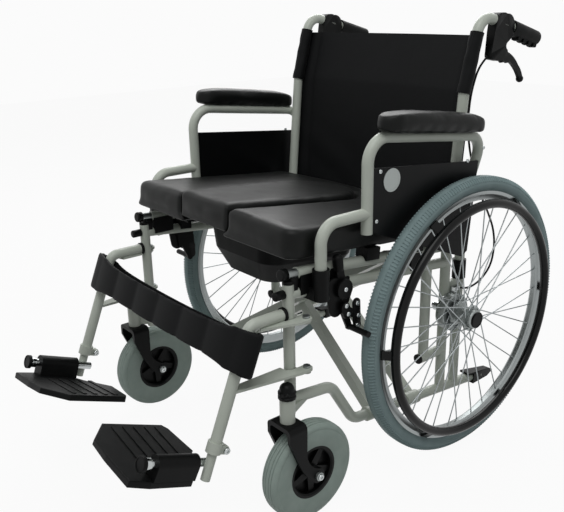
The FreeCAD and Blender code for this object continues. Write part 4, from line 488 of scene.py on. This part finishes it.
def puffed(piece, cap, up):
    """Swell a remeshed cushion with a short cloth run; the side that it rests on stays flat."""
    all_picked(piece)
    bpy.ops.transform.shrink_fatten(value=-cap * DRAWN_IN)
    bpy.ops.object.mode_set(mode="OBJECT")
    start = [vertex.co.copy() for vertex in piece.data.vertices]
    low = min(point.dot(up) for point in start)
    cloth = piece.modifiers.new("stuffing", "CLOTH")
    cloth.settings.use_pressure = True
    cloth.settings.uniform_pressure_force = PRESSURE
    cloth.settings.effector_weights.gravity = 0.0
    scene = bpy.context.scene
    for step in range(1, CLOTH_FRAMES + 1):
        scene.frame_set(step)
    bpy.ops.object.modifier_apply(modifier=cloth.name)
    scene.frame_set(1)
    for vertex, point in zip(piece.data.vertices, start):
        move = vertex.co - point
        if move.length > cap:
            move *= cap / move.length
        if point.dot(up) < low + REST_BAND:
            move -= up * move.dot(up)
        vertex.co = point + move
    changed(piece, "SMOOTH", factor=0.5, iterations=5)
    changed(piece, "SUBSURF", levels=1)
    return piece


def levelled(piece):
    """Fill an arm pad out to an even height that only rounds off near its ends."""
    points = [vertex.co for vertex in piece.data.vertices]
    first, last = min(p.y for p in points), max(p.y for p in points)
    slices = [[] for _ in range(PAD_SLICES + 1)]
    for p in points:
        slices[round((p.y - first) / (last - first) * PAD_SLICES)].append(p.z)
    foot = [min(heights) for heights in slices]
    crown = [max(heights) for heights in slices]
    full = max(high - low for low, high in zip(foot, crown))
    for p in points:
        share = (p.y - first) / (last - first) * PAD_SLICES
        index = min(int(share), PAD_SLICES - 1)
        part = share - index
        base = foot[index] + (foot[index + 1] - foot[index]) * part
        tall = crown[index] + (crown[index + 1] - crown[index]) * part - base
        wanted = full * (1 - PAD_END_DROP * abs(2 * share / PAD_SLICES - 1) ** PAD_END_POWER)
        p.z = base + (p.z - base) * max(1.0, wanted / max(tall, PAD_LEAST * full))
    return piece


def cushion(name, node, body, voxel, cap, up, under=None):
    """One stuffed vinyl piece in the place of its CAD solid, and of the board that it wraps, if any."""
    skin = remeshed(name, node, voxel, under)
    piece = puffed(levelled(skin) if node.startswith("arm_pad") else skin, cap, up)
    settled(piece, body, LOOK_VINYL, 60.0)
    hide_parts(*([node, under] if under else [node]))


cushion(
    "seat_cushion_vinyl", "seat_cushion", "seat", voxel=0.005, cap=0.0015, up=SEAT_UP,
    under="seat_board",
)
cushion("seat_plug_vinyl", "seat_plug", "plug", voxel=0.005, cap=0.0015, up=SEAT_UP)
for side, _ in SIDES:
    cushion(
        f"arm_pad_vinyl_{side}", f"arm_pad_{side}", f"armrest_{side}", voxel=0.004, cap=0.003,
        up=Vector((0, 0, 1)),
    )


# Back cloth

# Half width, and how much shorter and lower it is than its solid
BACK_HALF = 0.2665
BACK_SHORT = 0.0115
BACK_LOWER = 0.00275
CLOTH_THICK = 0.0022
# The flat sheet starts so far behind its solid and is then projected on to it
START_BEHIND = 0.05
# Depth and half width of the slack, of the folds at one lower corner and of the sewn seams
SLACK_DEPTH = 0.0014
SLACK_HALF = 0.25
FOLD_DEPTH = 0.0018
FOLD_X = -0.16
FOLD_HALF = 0.12
SEAM_DEPTH = 0.0018
SEAM_X = 0.229
SEAM_HALF = 0.004
# The edges lie close on the canes, clear of the armrest posts behind them
HUG_DEPTH = 0.003
HUG_FROM = 0.234
HUG_RUN = 0.010
# Sleeves round the canes: lower and upper end, radius, thickness
SLEEVE_LOW = 0.769
SLEEVE_HIGH = 0.888
SLEEVE_RADIUS = 0.0128
SLEEVE_THICK = 0.0024


def back_sheet():
    """One sheet stretched behind the canes, on the rear of the CAD solid, with folds where it is slack."""
    low, high = corners("back_upholstery")
    tall = high.z - low.z - BACK_SHORT
    behind = high.y + START_BEHIND
    piece = opened(
        "back_cloth", bpy.ops.mesh.primitive_grid_add, x_subdivisions=96, y_subdivisions=64, size=1.0
    )
    all_picked(piece)
    bpy.ops.transform.resize(value=(2 * BACK_HALF, tall, 1.0))
    alone(piece)
    piece.data.transform(Matrix.Rotation(math.pi / 2, 4, "X"))
    piece.data.transform(Matrix.Translation((0, behind, (low.z + high.z) / 2 - BACK_LOWER)))
    changed(
        piece, "SHRINKWRAP", target=nodes["back_upholstery"], wrap_method="PROJECT", use_project_y=True,
        use_negative_direction=True, use_positive_direction=True,
    )
    for vertex in piece.data.vertices:
        x, z = vertex.co.x, vertex.co.z
        height = (z - low.z) / tall
        # Slack is greatest in the middle and low down
        slack = max(0.0, 1 - (x / SLACK_HALF) ** 2) * (0.35 + 0.65 * (1 - height))
        # Waves cross at a slant, in radians per metre
        pull = math.sin(38 * (x + 0.35 * z)) * math.sin(9 * z + 2.0 * x)
        corner = max(0.0, 1 - ((x - FOLD_X) / FOLD_HALF) ** 2) * max(0.0, 1 - height * 1.8)
        fold = math.sin(70 * (z + 0.5 * x)) * corner
        seam = math.exp(-(((abs(x) - SEAM_X) / SEAM_HALF) ** 2))
        hug = min(1.0, max(0.0, (abs(x) - HUG_FROM) / HUG_RUN))
        vertex.co.y += SLACK_DEPTH * slack * pull + FOLD_DEPTH * fold + SEAM_DEPTH * seam - HUG_DEPTH * hug
    changed(piece, "SOLIDIFY", thickness=CLOTH_THICK, offset=-1.0)
    return settled(piece, "frame", LOOK_BACK, 60.0)


def cane_sleeve(side, sign):
    """Sewn tunnel of the back cloth round the bent top of a cane."""
    rise = ((SLEEVE_LOW + SLEEVE_HIGH) / 2 - CANE_KNEE.z) / CANE_UP.z
    middle = on_side(CANE_KNEE + CANE_UP * rise, sign)
    piece = opened(
        f"back_sleeve_{side}", bpy.ops.mesh.primitive_cylinder_add, vertices=40, radius=SLEEVE_RADIUS,
        depth=(SLEEVE_HIGH - SLEEVE_LOW) / CANE_UP.z, end_fill_type="NOTHING", location=middle,
        rotation=(-CANE_LEAN, 0, 0),
    )
    all_picked(piece)
    bpy.ops.mesh.subdivide(number_cuts=14)
    changed(piece, "SOLIDIFY", thickness=SLEEVE_THICK, offset=0.0)
    for vertex in piece.data.vertices:
        along = (vertex.co - middle).dot(CANE_UP)
        around = math.atan2(vertex.co.x - middle.x, vertex.co.y - middle.y)
        # Gathers run slantwise round the tunnel
        ease = 1 + 0.03 * math.sin(95 * along + 2 * around) + 0.02 * math.sin(210 * along)
        centre = middle + CANE_UP * along
        vertex.co = centre + (vertex.co - centre) * ease
    return settled(piece, "frame", LOOK_BACK, 50.0)


back = back_sheet()
sleeves = [cane_sleeve(side, sign) for side, sign in SIDES]
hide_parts("back_upholstery")


# Leg strap

# It sits higher up the hangers than its solid, and sags and bows forward in the middle
STRAP_RISE = 0.010
STRAP_SAG = 0.005
STRAP_BOW = 0.003
# Narrow between the hangers, so that a raised foot plate passes below it
WAIST = 0.2
WAIST_REACH = 0.245
# Wide where it wraps the hangers
FLARE = 0.08
FLARE_FROM = 0.24
FLARE_RUN = 0.04
WRAP_STRETCH = 1.5


def calf_strap():
    """Quilted strap across the hangers, cut into two halves at the middle, one for each hanger."""
    low, high = corners("calf_strap")
    middle = (low + high) / 2
    whole = remeshed("calf_strap_whole", "calf_strap", voxel=0.004)
    changed(whole, "SMOOTH", factor=0.5, iterations=2)
    for vertex in whole.data.vertices:
        x = vertex.co.x
        sag = max(0.0, 1 - (x / high.x) ** 2)
        drop = (vertex.co - middle).dot(LEG_DOWN)
        waist = max(0.0, 1 - (x / WAIST_REACH) ** 8)
        flare = max(0.0, abs(x) - FLARE_FROM) / FLARE_RUN
        width = FLARE * flare - WAIST * waist
        vertex.co += LEG_DOWN * (STRAP_SAG * sag + width * drop - STRAP_RISE)
        vertex.co.y -= STRAP_BOW * sag
        past = abs(x) - SIDE_X
        if past > 0:
            vertex.co.x += math.copysign(past * WRAP_STRETCH, x)
    for side, sign in SIDES:
        piece = copied(whole, f"calf_strap_half_{side}")
        all_picked(piece)
        bpy.ops.mesh.bisect(
            plane_co=(0, 0, 0), plane_no=(sign, 0, 0), use_fill=True, clear_inner=True, clear_outer=False
        )
        settled(piece, None, LOOK_STRAP, 60.0)
        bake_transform(piece)
        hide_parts("calf_strap")
    bpy.data.objects.remove(whole)


calf_strap()


# Models of the small fittings, and ways to place them

# The pressed face of a head lies this near to its top, and its normal has this share upwards
HEAD_TOP = 0.01
HEAD_FLAT = 0.99
# Share of a link's thickness that rounds its edges
LINK_ROUND = 0.2


def round_head(name, sides, height, rim, ledge, dip):
    """Round head one unit in radius, with a soft rim and a face pressed in behind a ledge."""
    piece = opened(
        name, bpy.ops.mesh.primitive_cylinder_add, vertices=sides, radius=1.0, depth=height,
        location=(0, 0, height / 2),
    )
    top = height - HEAD_TOP
    pick_edges(piece, lambda a, b: a.z > top and b.z > top)
    bpy.ops.mesh.bevel(offset=rim, segments=3)
    pick(piece, lambda centre, normal: normal.z > HEAD_FLAT and centre.z > top)
    bpy.ops.mesh.inset(thickness=ledge)
    bpy.ops.mesh.extrude_region_move(TRANSFORM_OT_translate={"value": (0, 0, -dip)})
    alone(piece)
    return piece


BOLT = round_head("bolt_model", sides=18, height=0.7, rim=0.32, ledge=0.24, dip=0.3)
DISC = round_head("disc_model", sides=40, height=1.0, rim=0.09, ledge=0.1, dip=0.12)


def put(model, name, spot, way, body, look, radius, height=None):
    """A copy of a model at a spot, with its top turned to a direction; a bolt's height follows its radius."""
    piece = copied(model, name)
    turn = Vector(way).to_track_quat("Z", "Y").to_matrix().to_4x4()
    size = Matrix.Diagonal((radius, radius, height or radius, 1))
    piece.data.transform(Matrix.Translation(spot) @ turn @ size)
    return settled(piece, body, look)


def link_plate(name, start, end, radius, thick, body, look):
    """Flat link with round ends from start to end, standing outwards on their plane of x."""
    across = end - start
    piece = opened(
        name, bpy.ops.mesh.primitive_cylinder_add, vertices=28, radius=radius, depth=thick,
        location=start + Vector((math.copysign(thick / 2, start.x), 0, 0)), rotation=(0, math.pi / 2, 0),
    )
    bpy.ops.mesh.select_mode(type="VERT")
    bpy.ops.object.mode_set(mode="OBJECT")
    for vertex in piece.data.vertices:
        vertex.select = (vertex.co - start).dot(across) > TINY
    bpy.ops.object.mode_set(mode="EDIT")
    bpy.ops.transform.translate(value=across)
    pick_edges(piece, lambda a, b: abs(a.x - b.x) < TINY and (a - b).length > TINY)
    bpy.ops.mesh.bevel(offset=thick * LINK_ROUND, segments=2)
    settled(piece, body, look)


# Side guards

# Places are distances behind the axle and heights
GUARD_X = 0.2929
BADGE_SPOT = (-0.2127, 0.6338)
BADGE_RADIUS = 0.0225
BADGE_THICK = 0.0016
GUARD_SCREWS = ((-0.2447, 0.6545), (-0.2527, 0.5611), (0.012, 0.638))
GUARD_SCREW_RADIUS = 0.0042
ARM_SCREW_X = 0.2955
ARM_SCREW = (0.0595, 0.659)
ARM_SCREW_RADIUS = 0.004


def guard_trim(side, sign):
    """Plain round plate and screws on the guard, and the screw at the rear end of the armrest."""
    out = Vector((sign, 0, 0))
    body = f"armrest_{side}"
    spot = beside(GUARD_X * sign, BADGE_SPOT)
    put(DISC, f"guard_badge_{side}", spot, out, body, LOOK_BADGE, BADGE_RADIUS, BADGE_THICK)
    for index, screw in enumerate(GUARD_SCREWS):
        spot = beside(GUARD_X * sign, screw)
        put(BOLT, f"guard_screw_{index}_{side}", spot, out, body, LOOK_BRIGHT, GUARD_SCREW_RADIUS)
    spot = beside(ARM_SCREW_X * sign, ARM_SCREW)
    put(BOLT, f"arm_screw_{side}", spot, out, body, LOOK_BRIGHT, ARM_SCREW_RADIUS)


# Rear tyres

# Ribs on each shoulder, the circle and the radius of the tyre's section that they stand on, and their lean
RIB_COUNT = 272
SECTION_CIRCLE = 0.288
SECTION_RADIUS = 0.0171
RIB_LEAN = 46
RIB_SIZE = (0.0135, 0.0042, 0.0024)
# The top of a rib is smaller than its foot
RIB_TOP = (0.82, 0.5, 0.82)
RIB_TOP_RISE = 0.0008


def tread_ribs(side, sign):
    """Fine cross ribs on both shoulders of a rear tyre, about 7 mm apart."""
    axle = beside(WHEEL_X * sign, (0, WHEEL_RADIUS))
    turn = Matrix.Rotation(math.tau / RIB_COUNT, 4, "X")
    for name, lean in (("out", RIB_LEAN), ("in", -RIB_LEAN)):
        slant = math.radians(lean) * sign
        outward = Vector((math.sin(slant), 0, math.cos(slant)))
        spot = axle + Vector((0, 0, SECTION_CIRCLE)) + outward * SECTION_RADIUS
        piece = opened(
            f"tyre_ribs_{name}_{side}", bpy.ops.mesh.primitive_cube_add, size=1.0, location=spot,
            rotation=(0, slant, 0), scale=RIB_SIZE,
        )
        pick_facing(piece, outward)
        bpy.ops.transform.resize(value=RIB_TOP, center_override=spot + outward * RIB_TOP_RISE)
        pick_facing(piece, -outward)
        bpy.ops.mesh.delete(type="FACE")
        alone(piece)
        step = bpy.data.objects.new("rib_step", None)
        bpy.context.scene.collection.objects.link(step)
        step.matrix_world = Matrix.Translation(axle) @ turn @ Matrix.Translation(-axle)
        bpy.context.view_layer.update()
        changed(
            piece, "ARRAY", count=RIB_COUNT, use_relative_offset=False, use_object_offset=True,
            offset_object=step,
        )
        bpy.data.objects.remove(step)
        settled(piece, f"rear_wheel_{side}", LOOK_TYRE, 30.0)


# Foot plate hinges

# Sizes of the collar and the cap, as shares of the knob's radius or in metres
FOOT_COLLAR = 0.72
FOOT_COLLAR_LONG = 0.017
FOOT_COLLAR_EDGE = 0.0012
FOOT_CAP = 0.92
FOOT_CAP_AHEAD = 0.004
FOOT_CAP_LONG = 0.0075


def foot_knob(side):
    """Bright collar and black knob at the front end of the foot plate's hinge bar."""
    low, high = corners(f"foot_knob_{side}")
    middle = (low + high) / 2
    radius = (high.x - low.x) / 2
    body = f"leg_{side}"
    collar = opened(
        f"foot_collar_{side}", bpy.ops.mesh.primitive_cylinder_add, vertices=32, radius=radius * FOOT_COLLAR,
        depth=FOOT_COLLAR_LONG, location=middle, rotation=(math.pi / 2 - LEG_PITCH, 0, 0),
    )
    pick_edges(collar, lambda a, b: abs((a - b).dot(LEG_REAR)) < NEAR)
    bpy.ops.mesh.bevel(offset=FOOT_COLLAR_EDGE, segments=2)
    settled(collar, body, LOOK_BRIGHT)
    cap = put(
        DISC, f"foot_knob_cap_{side}", middle - LEG_REAR * FOOT_CAP_AHEAD, -LEG_REAR, body, LOOK_PLASTIC,
        radius * FOOT_CAP, FOOT_CAP_LONG,
    )
    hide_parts(f"foot_knob_{side}")


# Wheel locks

# Places are distances behind the axle and heights
LOCK_PIVOT = (-0.332, 0.446)
LOCK_DISC_X = 0.2902
LOCK_DISC_RADIUS = 0.019
LOCK_DISC_THICK = 0.005
# Links: x, the two ends, radius, thickness
LOCK_LINKS = (
    ("a", 0.2905, (-0.330, 0.408), (-0.3245, 0.3946), 0.0105, 0.004),
    ("b", 0.2905, (-0.3014, 0.4106), (-0.2995, 0.3648), 0.0095, 0.004),
    ("c", 0.2903, (-0.3275, 0.402), (-0.2984, 0.3849), 0.0085, 0.0035),
)
SHIELD_X = 0.279
SHIELD_ENDS = ((-0.3515, 0.452), (-0.345, 0.408))
SHIELD_RADIUS = 0.0175
SHIELD_THICK = 0.006
LINK_RIVETS = ((-0.330, 0.4124), (-0.3249, 0.3946), (-0.3014, 0.4106), (-0.2984, 0.3849), (-0.3008, 0.3648))
RIVET_X = 0.2944
RIVET_RADIUS = 0.0048


def wheel_lock(side, sign):
    """Disc on the lever's pivot, links below it, the shield behind them, and their rivets."""
    out = Vector((sign, 0, 0))
    hand, bar = f"lock_hand_{side}", f"lock_bar_{side}"
    spot = beside(LOCK_DISC_X * sign, LOCK_PIVOT)
    put(DISC, f"lock_disc_{side}", spot, out, hand, LOOK_PLASTIC, LOCK_DISC_RADIUS, LOCK_DISC_THICK)
    for name, x, start, end, radius, thick in LOCK_LINKS:
        ends = beside(x * sign, start), beside(x * sign, end)
        link_plate(f"lock_link_{name}_{side}", *ends, radius, thick, bar, LOOK_PLASTIC)
    ends = [beside(SHIELD_X * sign, end) for end in SHIELD_ENDS]
    link_plate(f"lock_shield_{side}", *ends, SHIELD_RADIUS, SHIELD_THICK, "frame", LOOK_PLASTIC)
    rivets = [(LOCK_PIVOT, hand)] + [(rivet, bar) for rivet in LINK_RIVETS]
    for index, (rivet, body) in enumerate(rivets):
        spot = beside(RIVET_X * sign, rivet)
        put(BOLT, f"lock_rivet_{index}_{side}", spot, out, body, LOOK_BRIGHT, RIVET_RADIUS)


# Hangers

# The hanger's bend, behind the axle and above the floor, and the clamp's way down the leg from there
HANGER_BEND = (-0.531, 0.420)
CLAMP_RUN = 0.228
EAR_REACH = 0.023
EAR_ROOT = Vector((0, 0.006, -0.002))
EAR_RADIUS = 0.0085
EAR_THICK = 0.015
CLAMP_BOLT_OUT = 0.0074
CLAMP_BOLT_RADIUS = 0.0066
RING_SPOT = (-0.4525, 0.420)
RING_RADIUS = 0.0135
RING_LONG = 0.006


def leg_clamp(side, sign):
    """Ear, bolt and nut of the clamp that holds the leg tube in the hanger."""
    out = Vector((sign, 0, 0))
    body = f"swing_hanger_{side}"
    clamp = beside(SIDE_X * sign, HANGER_BEND) + LEG_DOWN * CLAMP_RUN
    ear = clamp + LEG_REAR * EAR_REACH
    inner_face = out * (EAR_THICK / 2)
    link_plate(
        f"collar_ear_{side}", clamp + EAR_ROOT - inner_face, ear - inner_face, EAR_RADIUS, EAR_THICK,
        body, LOOK_FRAME,
    )
    for name, way in (("bolt", out), ("nut", -out)):
        spot = ear + way * CLAMP_BOLT_OUT
        put(BOLT, f"collar_{name}_{side}", spot, way, body, LOOK_BRIGHT, CLAMP_BOLT_RADIUS)


def hanger_ring(side, sign):
    """Black ring where the hanger's tube leaves its pivot."""
    spot = beside(SIDE_X * sign, RING_SPOT)
    put(
        DISC, f"hanger_ring_{side}", spot, (0, -1, 0), f"swing_hanger_{side}", LOOK_PLASTIC,
        RING_RADIUS, RING_LONG,
    )


# Push handles

# Ends of the grip along the handle, its radius, its wall at the mouth and the ridges for the fingers
GRIP_FIRST = 0.1065
GRIP_LAST = 0.2035
GRIP_RADIUS = 0.0162
GRIP_MOUTH = 0.0012
GRIP_MOUTH_DEEP = 0.003
GRIP_END_ROUND = 0.0025
RIDGES = 4
RIDGE_FROM = 0.03
RIDGE_PITCH = 0.0198
RIDGE_BELOW = 0.0005
RIDGE_SIZE = (0.018, 0.0115, 0.0085)
RIDGE_ROUND = 0.003


def push_grip(side, sign):
    """Smooth round grip with a flat end and finger ridges beneath."""
    on_tube = on_side(HANDLE, sign)
    piece = opened(
        f"push_grip_{side}", bpy.ops.mesh.primitive_cylinder_add, vertices=40, radius=GRIP_RADIUS,
        depth=GRIP_LAST - GRIP_FIRST, location=on_tube + HANDLE_WAY * ((GRIP_FIRST + GRIP_LAST) / 2),
        rotation=(-(math.pi / 2 + CANE_LEAN), 0, 0),
    )
    pick_facing(piece, -HANDLE_WAY)
    bpy.ops.mesh.inset(thickness=GRIP_MOUTH)
    bpy.ops.mesh.extrude_region_move(TRANSFORM_OT_translate={"value": HANDLE_WAY * GRIP_MOUTH_DEEP})
    end = GRIP_LAST - NEAR
    pick_edges(piece, lambda a, b: min((v - on_tube).dot(HANDLE_WAY) for v in (a, b)) > end)
    bpy.ops.mesh.bevel(offset=GRIP_END_ROUND, segments=3)
    alone(piece)
    ridges = []
    for index in range(RIDGES):
        along = GRIP_FIRST + RIDGE_FROM + index * RIDGE_PITCH
        spot = on_tube + HANDLE_WAY * along - CANE_UP * (GRIP_RADIUS + RIDGE_BELOW)
        ridge = opened(
            "grip_ridge", bpy.ops.mesh.primitive_cube_add, size=1.0, location=spot,
            rotation=(-CANE_LEAN, 0, 0), scale=RIDGE_SIZE,
        )
        pick_edges(ridge, lambda a, b: max((v - spot).dot(CANE_UP) for v in (a, b)) < 0)
        bpy.ops.mesh.bevel(offset=RIDGE_ROUND, segments=3)
        alone(ridge)
        ridges.append(ridge)
    joined(piece, ridges)
    settled(piece, "frame", LOOK_GRIP)
    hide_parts("push_grips")


# Waist of the brake housings: its start below the tube, its run, the share drawn in, and the core that stays
HOUSING_WAIST_FROM = 0.012
HOUSING_WAIST_RUN = 0.025
HOUSING_WAIST = 0.3
HOUSING_CORE = 0.0085
# Their front is set back below the tube
HOUSING_FRONT_RUN = 0.022
HOUSING_FRONT_BACK = 0.0065


def brake_housings():
    """The housings of the solid, drawn in to a waist below the tube and set back at the front."""
    piece = merged(copied(nodes["brake_housings"], "brake_housing_pair"))
    front = min((vertex.co - HANDLE).dot(HANDLE_WAY) for vertex in piece.data.vertices if vertex.co.x > 0)
    for vertex in piece.data.vertices:
        middle = math.copysign(SIDE_X, vertex.co.x)
        aside = vertex.co.x - middle
        spot = Vector((0, vertex.co.y - HANDLE.y, vertex.co.z - HANDLE.z))
        below = min(1.0, max(0.0, (-spot.dot(CANE_UP) - HOUSING_WAIST_FROM) / HOUSING_WAIST_RUN))
        if abs(aside) > HOUSING_CORE:
            vertex.co.x = middle + aside * (1 - HOUSING_WAIST * below)
        ahead = max(0.0, 1 - (spot.dot(HANDLE_WAY) - front) / HOUSING_FRONT_RUN)
        vertex.co += HANDLE_WAY * (HOUSING_FRONT_BACK * ahead * below)
    settled(piece, "frame", LOOK_PLASTIC, 30.0)
    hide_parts("brake_housings")


# Rail stops and end caps

STOP_SPOT = (SIDE_X, -0.1925, 0.4745)
STOP_SIZE = Vector((0.021, 0.018, 0.027))
STOP_FOOT = (0.86, 0.8, 1.0)
STOP_ROUND = 0.0025
# Front caps of the upper rails: what lies ahead of this y and within these heights is drawn forward
FRONT_CAP_Y = -0.2195
FRONT_CAP_LOW = 0.447
FRONT_CAP_HIGH = 0.469
FRONT_CAP_LONGER = 0.009
# Tipping pedals: where they start to thin, over what length, and by what shares across and upright
PEDAL_Y = 0.375
PEDAL_RUN = 0.05
PEDAL_THIN_X = 0.5
PEDAL_THIN_Z = 0.45


def rail_stop(side, sign):
    """Moulded stop between the upper rail and the front end of the seat rail."""
    spot = on_side(STOP_SPOT, sign)
    piece = opened(
        f"rail_stop_{side}", bpy.ops.mesh.primitive_cube_add, size=1.0, location=spot, scale=STOP_SIZE
    )
    down = Vector((0, 0, -1))
    pick_facing(piece, down)
    bpy.ops.transform.resize(value=STOP_FOOT, center_override=spot + down * (STOP_SIZE.z / 2))
    pick_edges(piece, lambda a, b: True)
    bpy.ops.mesh.bevel(offset=STOP_ROUND, segments=3)
    settled(piece, "frame", LOOK_PLASTIC)


def end_caps():
    """The caps of the solid, with longer front caps and the tipping pedals drawn out to a blunt point."""
    piece = merged(copied(nodes["end_caps"], "end_cap_set"))
    points = [vertex.co for vertex in piece.data.vertices]
    for p in points:
        if p.y < FRONT_CAP_Y and FRONT_CAP_LOW < p.z < FRONT_CAP_HIGH:
            p.y -= FRONT_CAP_LONGER
    pedals = [p for p in points if p.y > PEDAL_Y]
    level = sum(p.z for p in pedals) / len(pedals)
    for p in pedals:
        middle = math.copysign(SIDE_X, p.x)
        thin = min(1.0, (p.y - PEDAL_Y) / PEDAL_RUN)
        p.x = middle + (p.x - middle) * (1 - PEDAL_THIN_X * thin)
        p.z = level + (p.z - level) * (1 - PEDAL_THIN_Z * thin)
    settled(piece, "frame", LOOK_PLASTIC, 30.0)
    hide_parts("end_caps")


# Wheel centres

CASTER_BOLT_RADIUS = 0.0064
CASTER_BOLT_SUNK = 0.0012
HUB_CAP_X = 0.3499
HUB_CAP_RADIUS = 0.0175
HUB_CAP_THICK = 0.004


def wheel_centres(side, sign):
    """Bolt heads on both ends of the caster's axle, and the cap on the rear hub."""
    out = Vector((sign, 0, 0))
    low, high = corners(f"caster_axle_{side}")
    reach = (high.x - low.x) / 2 - CASTER_BOLT_SUNK
    for face, way in (("out", out), ("in", -out)):
        spot = (low + high) / 2 + way * reach
        name = f"caster_bolt_{face}_{side}"
        put(BOLT, name, spot, way, f"caster_swivel_{side}", LOOK_BRIGHT, CASTER_BOLT_RADIUS)
    spot = beside(HUB_CAP_X * sign, (0, WHEEL_RADIUS))
    put(DISC, f"hub_cap_{side}", spot, out, f"rear_wheel_{side}", LOOK_PLASTIC, HUB_CAP_RADIUS, HUB_CAP_THICK)


for side, sign in SIDES:
    guard_trim(side, sign)
    tread_ribs(side, sign)
    foot_knob(side)
    wheel_lock(side, sign)
    leg_clamp(side, sign)
    push_grip(side, sign)
    rail_stop(side, sign)
    hanger_ring(side, sign)
    wheel_centres(side, sign)
brake_housings()
end_caps()
bpy.data.objects.remove(BOLT)
bpy.data.objects.remove(DISC)


# Stage, light and camera

# The camera sees this share of the floor as white paper; the rest keeps the chair's shadow
FLOOR_PAPER = 0.94
FLOOR_SIZE = 14.0
# Strength of the white surroundings as light, and as the camera and bright metal see them
WORLD_LIGHT = 0.27
WORLD_SEEN = 0.965
# Area lamps: place, power in watts, size; all aim at the middle of the chair
LAMPS = (
    ("key", (1.1, -1.1, 3.4), 50.0, 2.2),
    ("fill", (-2.6, -1.4, 2.2), 9.0, 2.4),
    ("rear", (-1.6, 1.9, 2.4), 62.0, 2.4),
)
LAMP_AIM = Vector((0, 0, 0.45))
# Camera of the photograph from the fit: place, turns in radians, focal length and frame width in pixels
CAMERA_SPOT = (1.218349, -1.221301 + AXLE, 0.947405)
CAMERA_HEADING = 0.895345
CAMERA_DIP = 0.327016
CAMERA_ROLL = -0.022958
FOCAL_PIXELS = 738.107
FRAME_PIXELS = 564.0
SENSOR_MM = 36.0


def looked_at(owner):
    """One for camera, glossy and transmission rays, so that metal shows the white studio too."""
    path = add(owner, "ShaderNodeLightPath")
    total = path.outputs["Is Camera Ray"]
    for ray in ("Is Glossy Ray", "Is Transmission Ray"):
        larger = add(owner, "ShaderNodeMath", {"operation": "MAXIMUM"}, in0=total, in1=path.outputs[ray])
        total = larger.outputs[0]
    return total


def studio_floor():
    """White floor that takes the chair's shadow."""
    bpy.ops.object.select_all(action="DESELECT")
    bpy.ops.mesh.primitive_plane_add(size=FLOOR_SIZE, location=(0, 0, 0))
    floor = bpy.context.object
    floor.name = "studio_floor"
    material, shader = finish("studio_floor_white", "#BDBDBD", 0.9, Specular_IOR_Level=0.1)
    paper = add(material, "ShaderNodeEmission", {"Strength": 1.0, "Color": WHITE})
    scaled = {"operation": "MULTIPLY", 1: FLOOR_PAPER}
    share = add(material, "ShaderNodeMath", scaled, in0=looked_at(material))
    mixed = add(
        material, "ShaderNodeMixShader",
        in0=share.outputs["Value"], in1=shader.outputs[0], in2=paper.outputs[0],
    )
    join(material, mixed.outputs[0], material.node_tree.nodes["Material Output"].inputs["Surface"])
    floor.data.materials.append(material)


def studio_light():
    """White surroundings and three soft lamps."""
    world = bpy.data.worlds.new("studio")
    bpy.context.scene.world = world
    world.use_nodes = True
    light = world.node_tree.nodes["Background"]
    light.inputs["Color"].default_value = WHITE
    light.inputs["Strength"].default_value = WORLD_LIGHT
    seen = add(world, "ShaderNodeBackground", {"Color": WHITE, "Strength": WORLD_SEEN})
    mixed = add(world, "ShaderNodeMixShader", in0=looked_at(world), in1=light.outputs[0], in2=seen.outputs[0])
    join(world, mixed.outputs[0], world.node_tree.nodes["World Output"].inputs["Surface"])
    for name, spot, power, size in LAMPS:
        data = bpy.data.lights.new(name, "AREA")
        data.energy = power
        data.size = size
        lamp = bpy.data.objects.new(name, data)
        lamp.location = spot
        lamp.rotation_euler = (LAMP_AIM - Vector(spot)).to_track_quat("-Z", "Y").to_euler()
        bpy.context.scene.collection.objects.link(lamp)


def photo_camera():
    """Camera at the photograph's place, turned by its heading, dip and roll."""
    flat = math.cos(CAMERA_DIP)
    ahead = Vector((-math.sin(CAMERA_HEADING) * flat, math.cos(CAMERA_HEADING) * flat, -math.sin(CAMERA_DIP)))
    level = Vector((math.cos(CAMERA_HEADING), math.sin(CAMERA_HEADING), 0))
    upright = level.cross(ahead)
    right = level * math.cos(CAMERA_ROLL) + upright * math.sin(CAMERA_ROLL)
    up = upright * math.cos(CAMERA_ROLL) - level * math.sin(CAMERA_ROLL)
    data = bpy.data.cameras.new("photo_camera")
    data.sensor_fit = "HORIZONTAL"
    data.sensor_width = SENSOR_MM
    data.lens = FOCAL_PIXELS * SENSOR_MM / FRAME_PIXELS
    camera = bpy.data.objects.new("photo_camera", data)
    turn = Matrix((right, up, -ahead)).transposed().to_4x4()
    camera.matrix_world = Matrix.Translation(CAMERA_SPOT) @ turn
    bpy.context.scene.collection.objects.link(camera)
    bpy.context.scene.camera = camera


studio_floor()
studio_light()
photo_camera()
bpy.context.scene.view_settings.view_transform = "Standard"
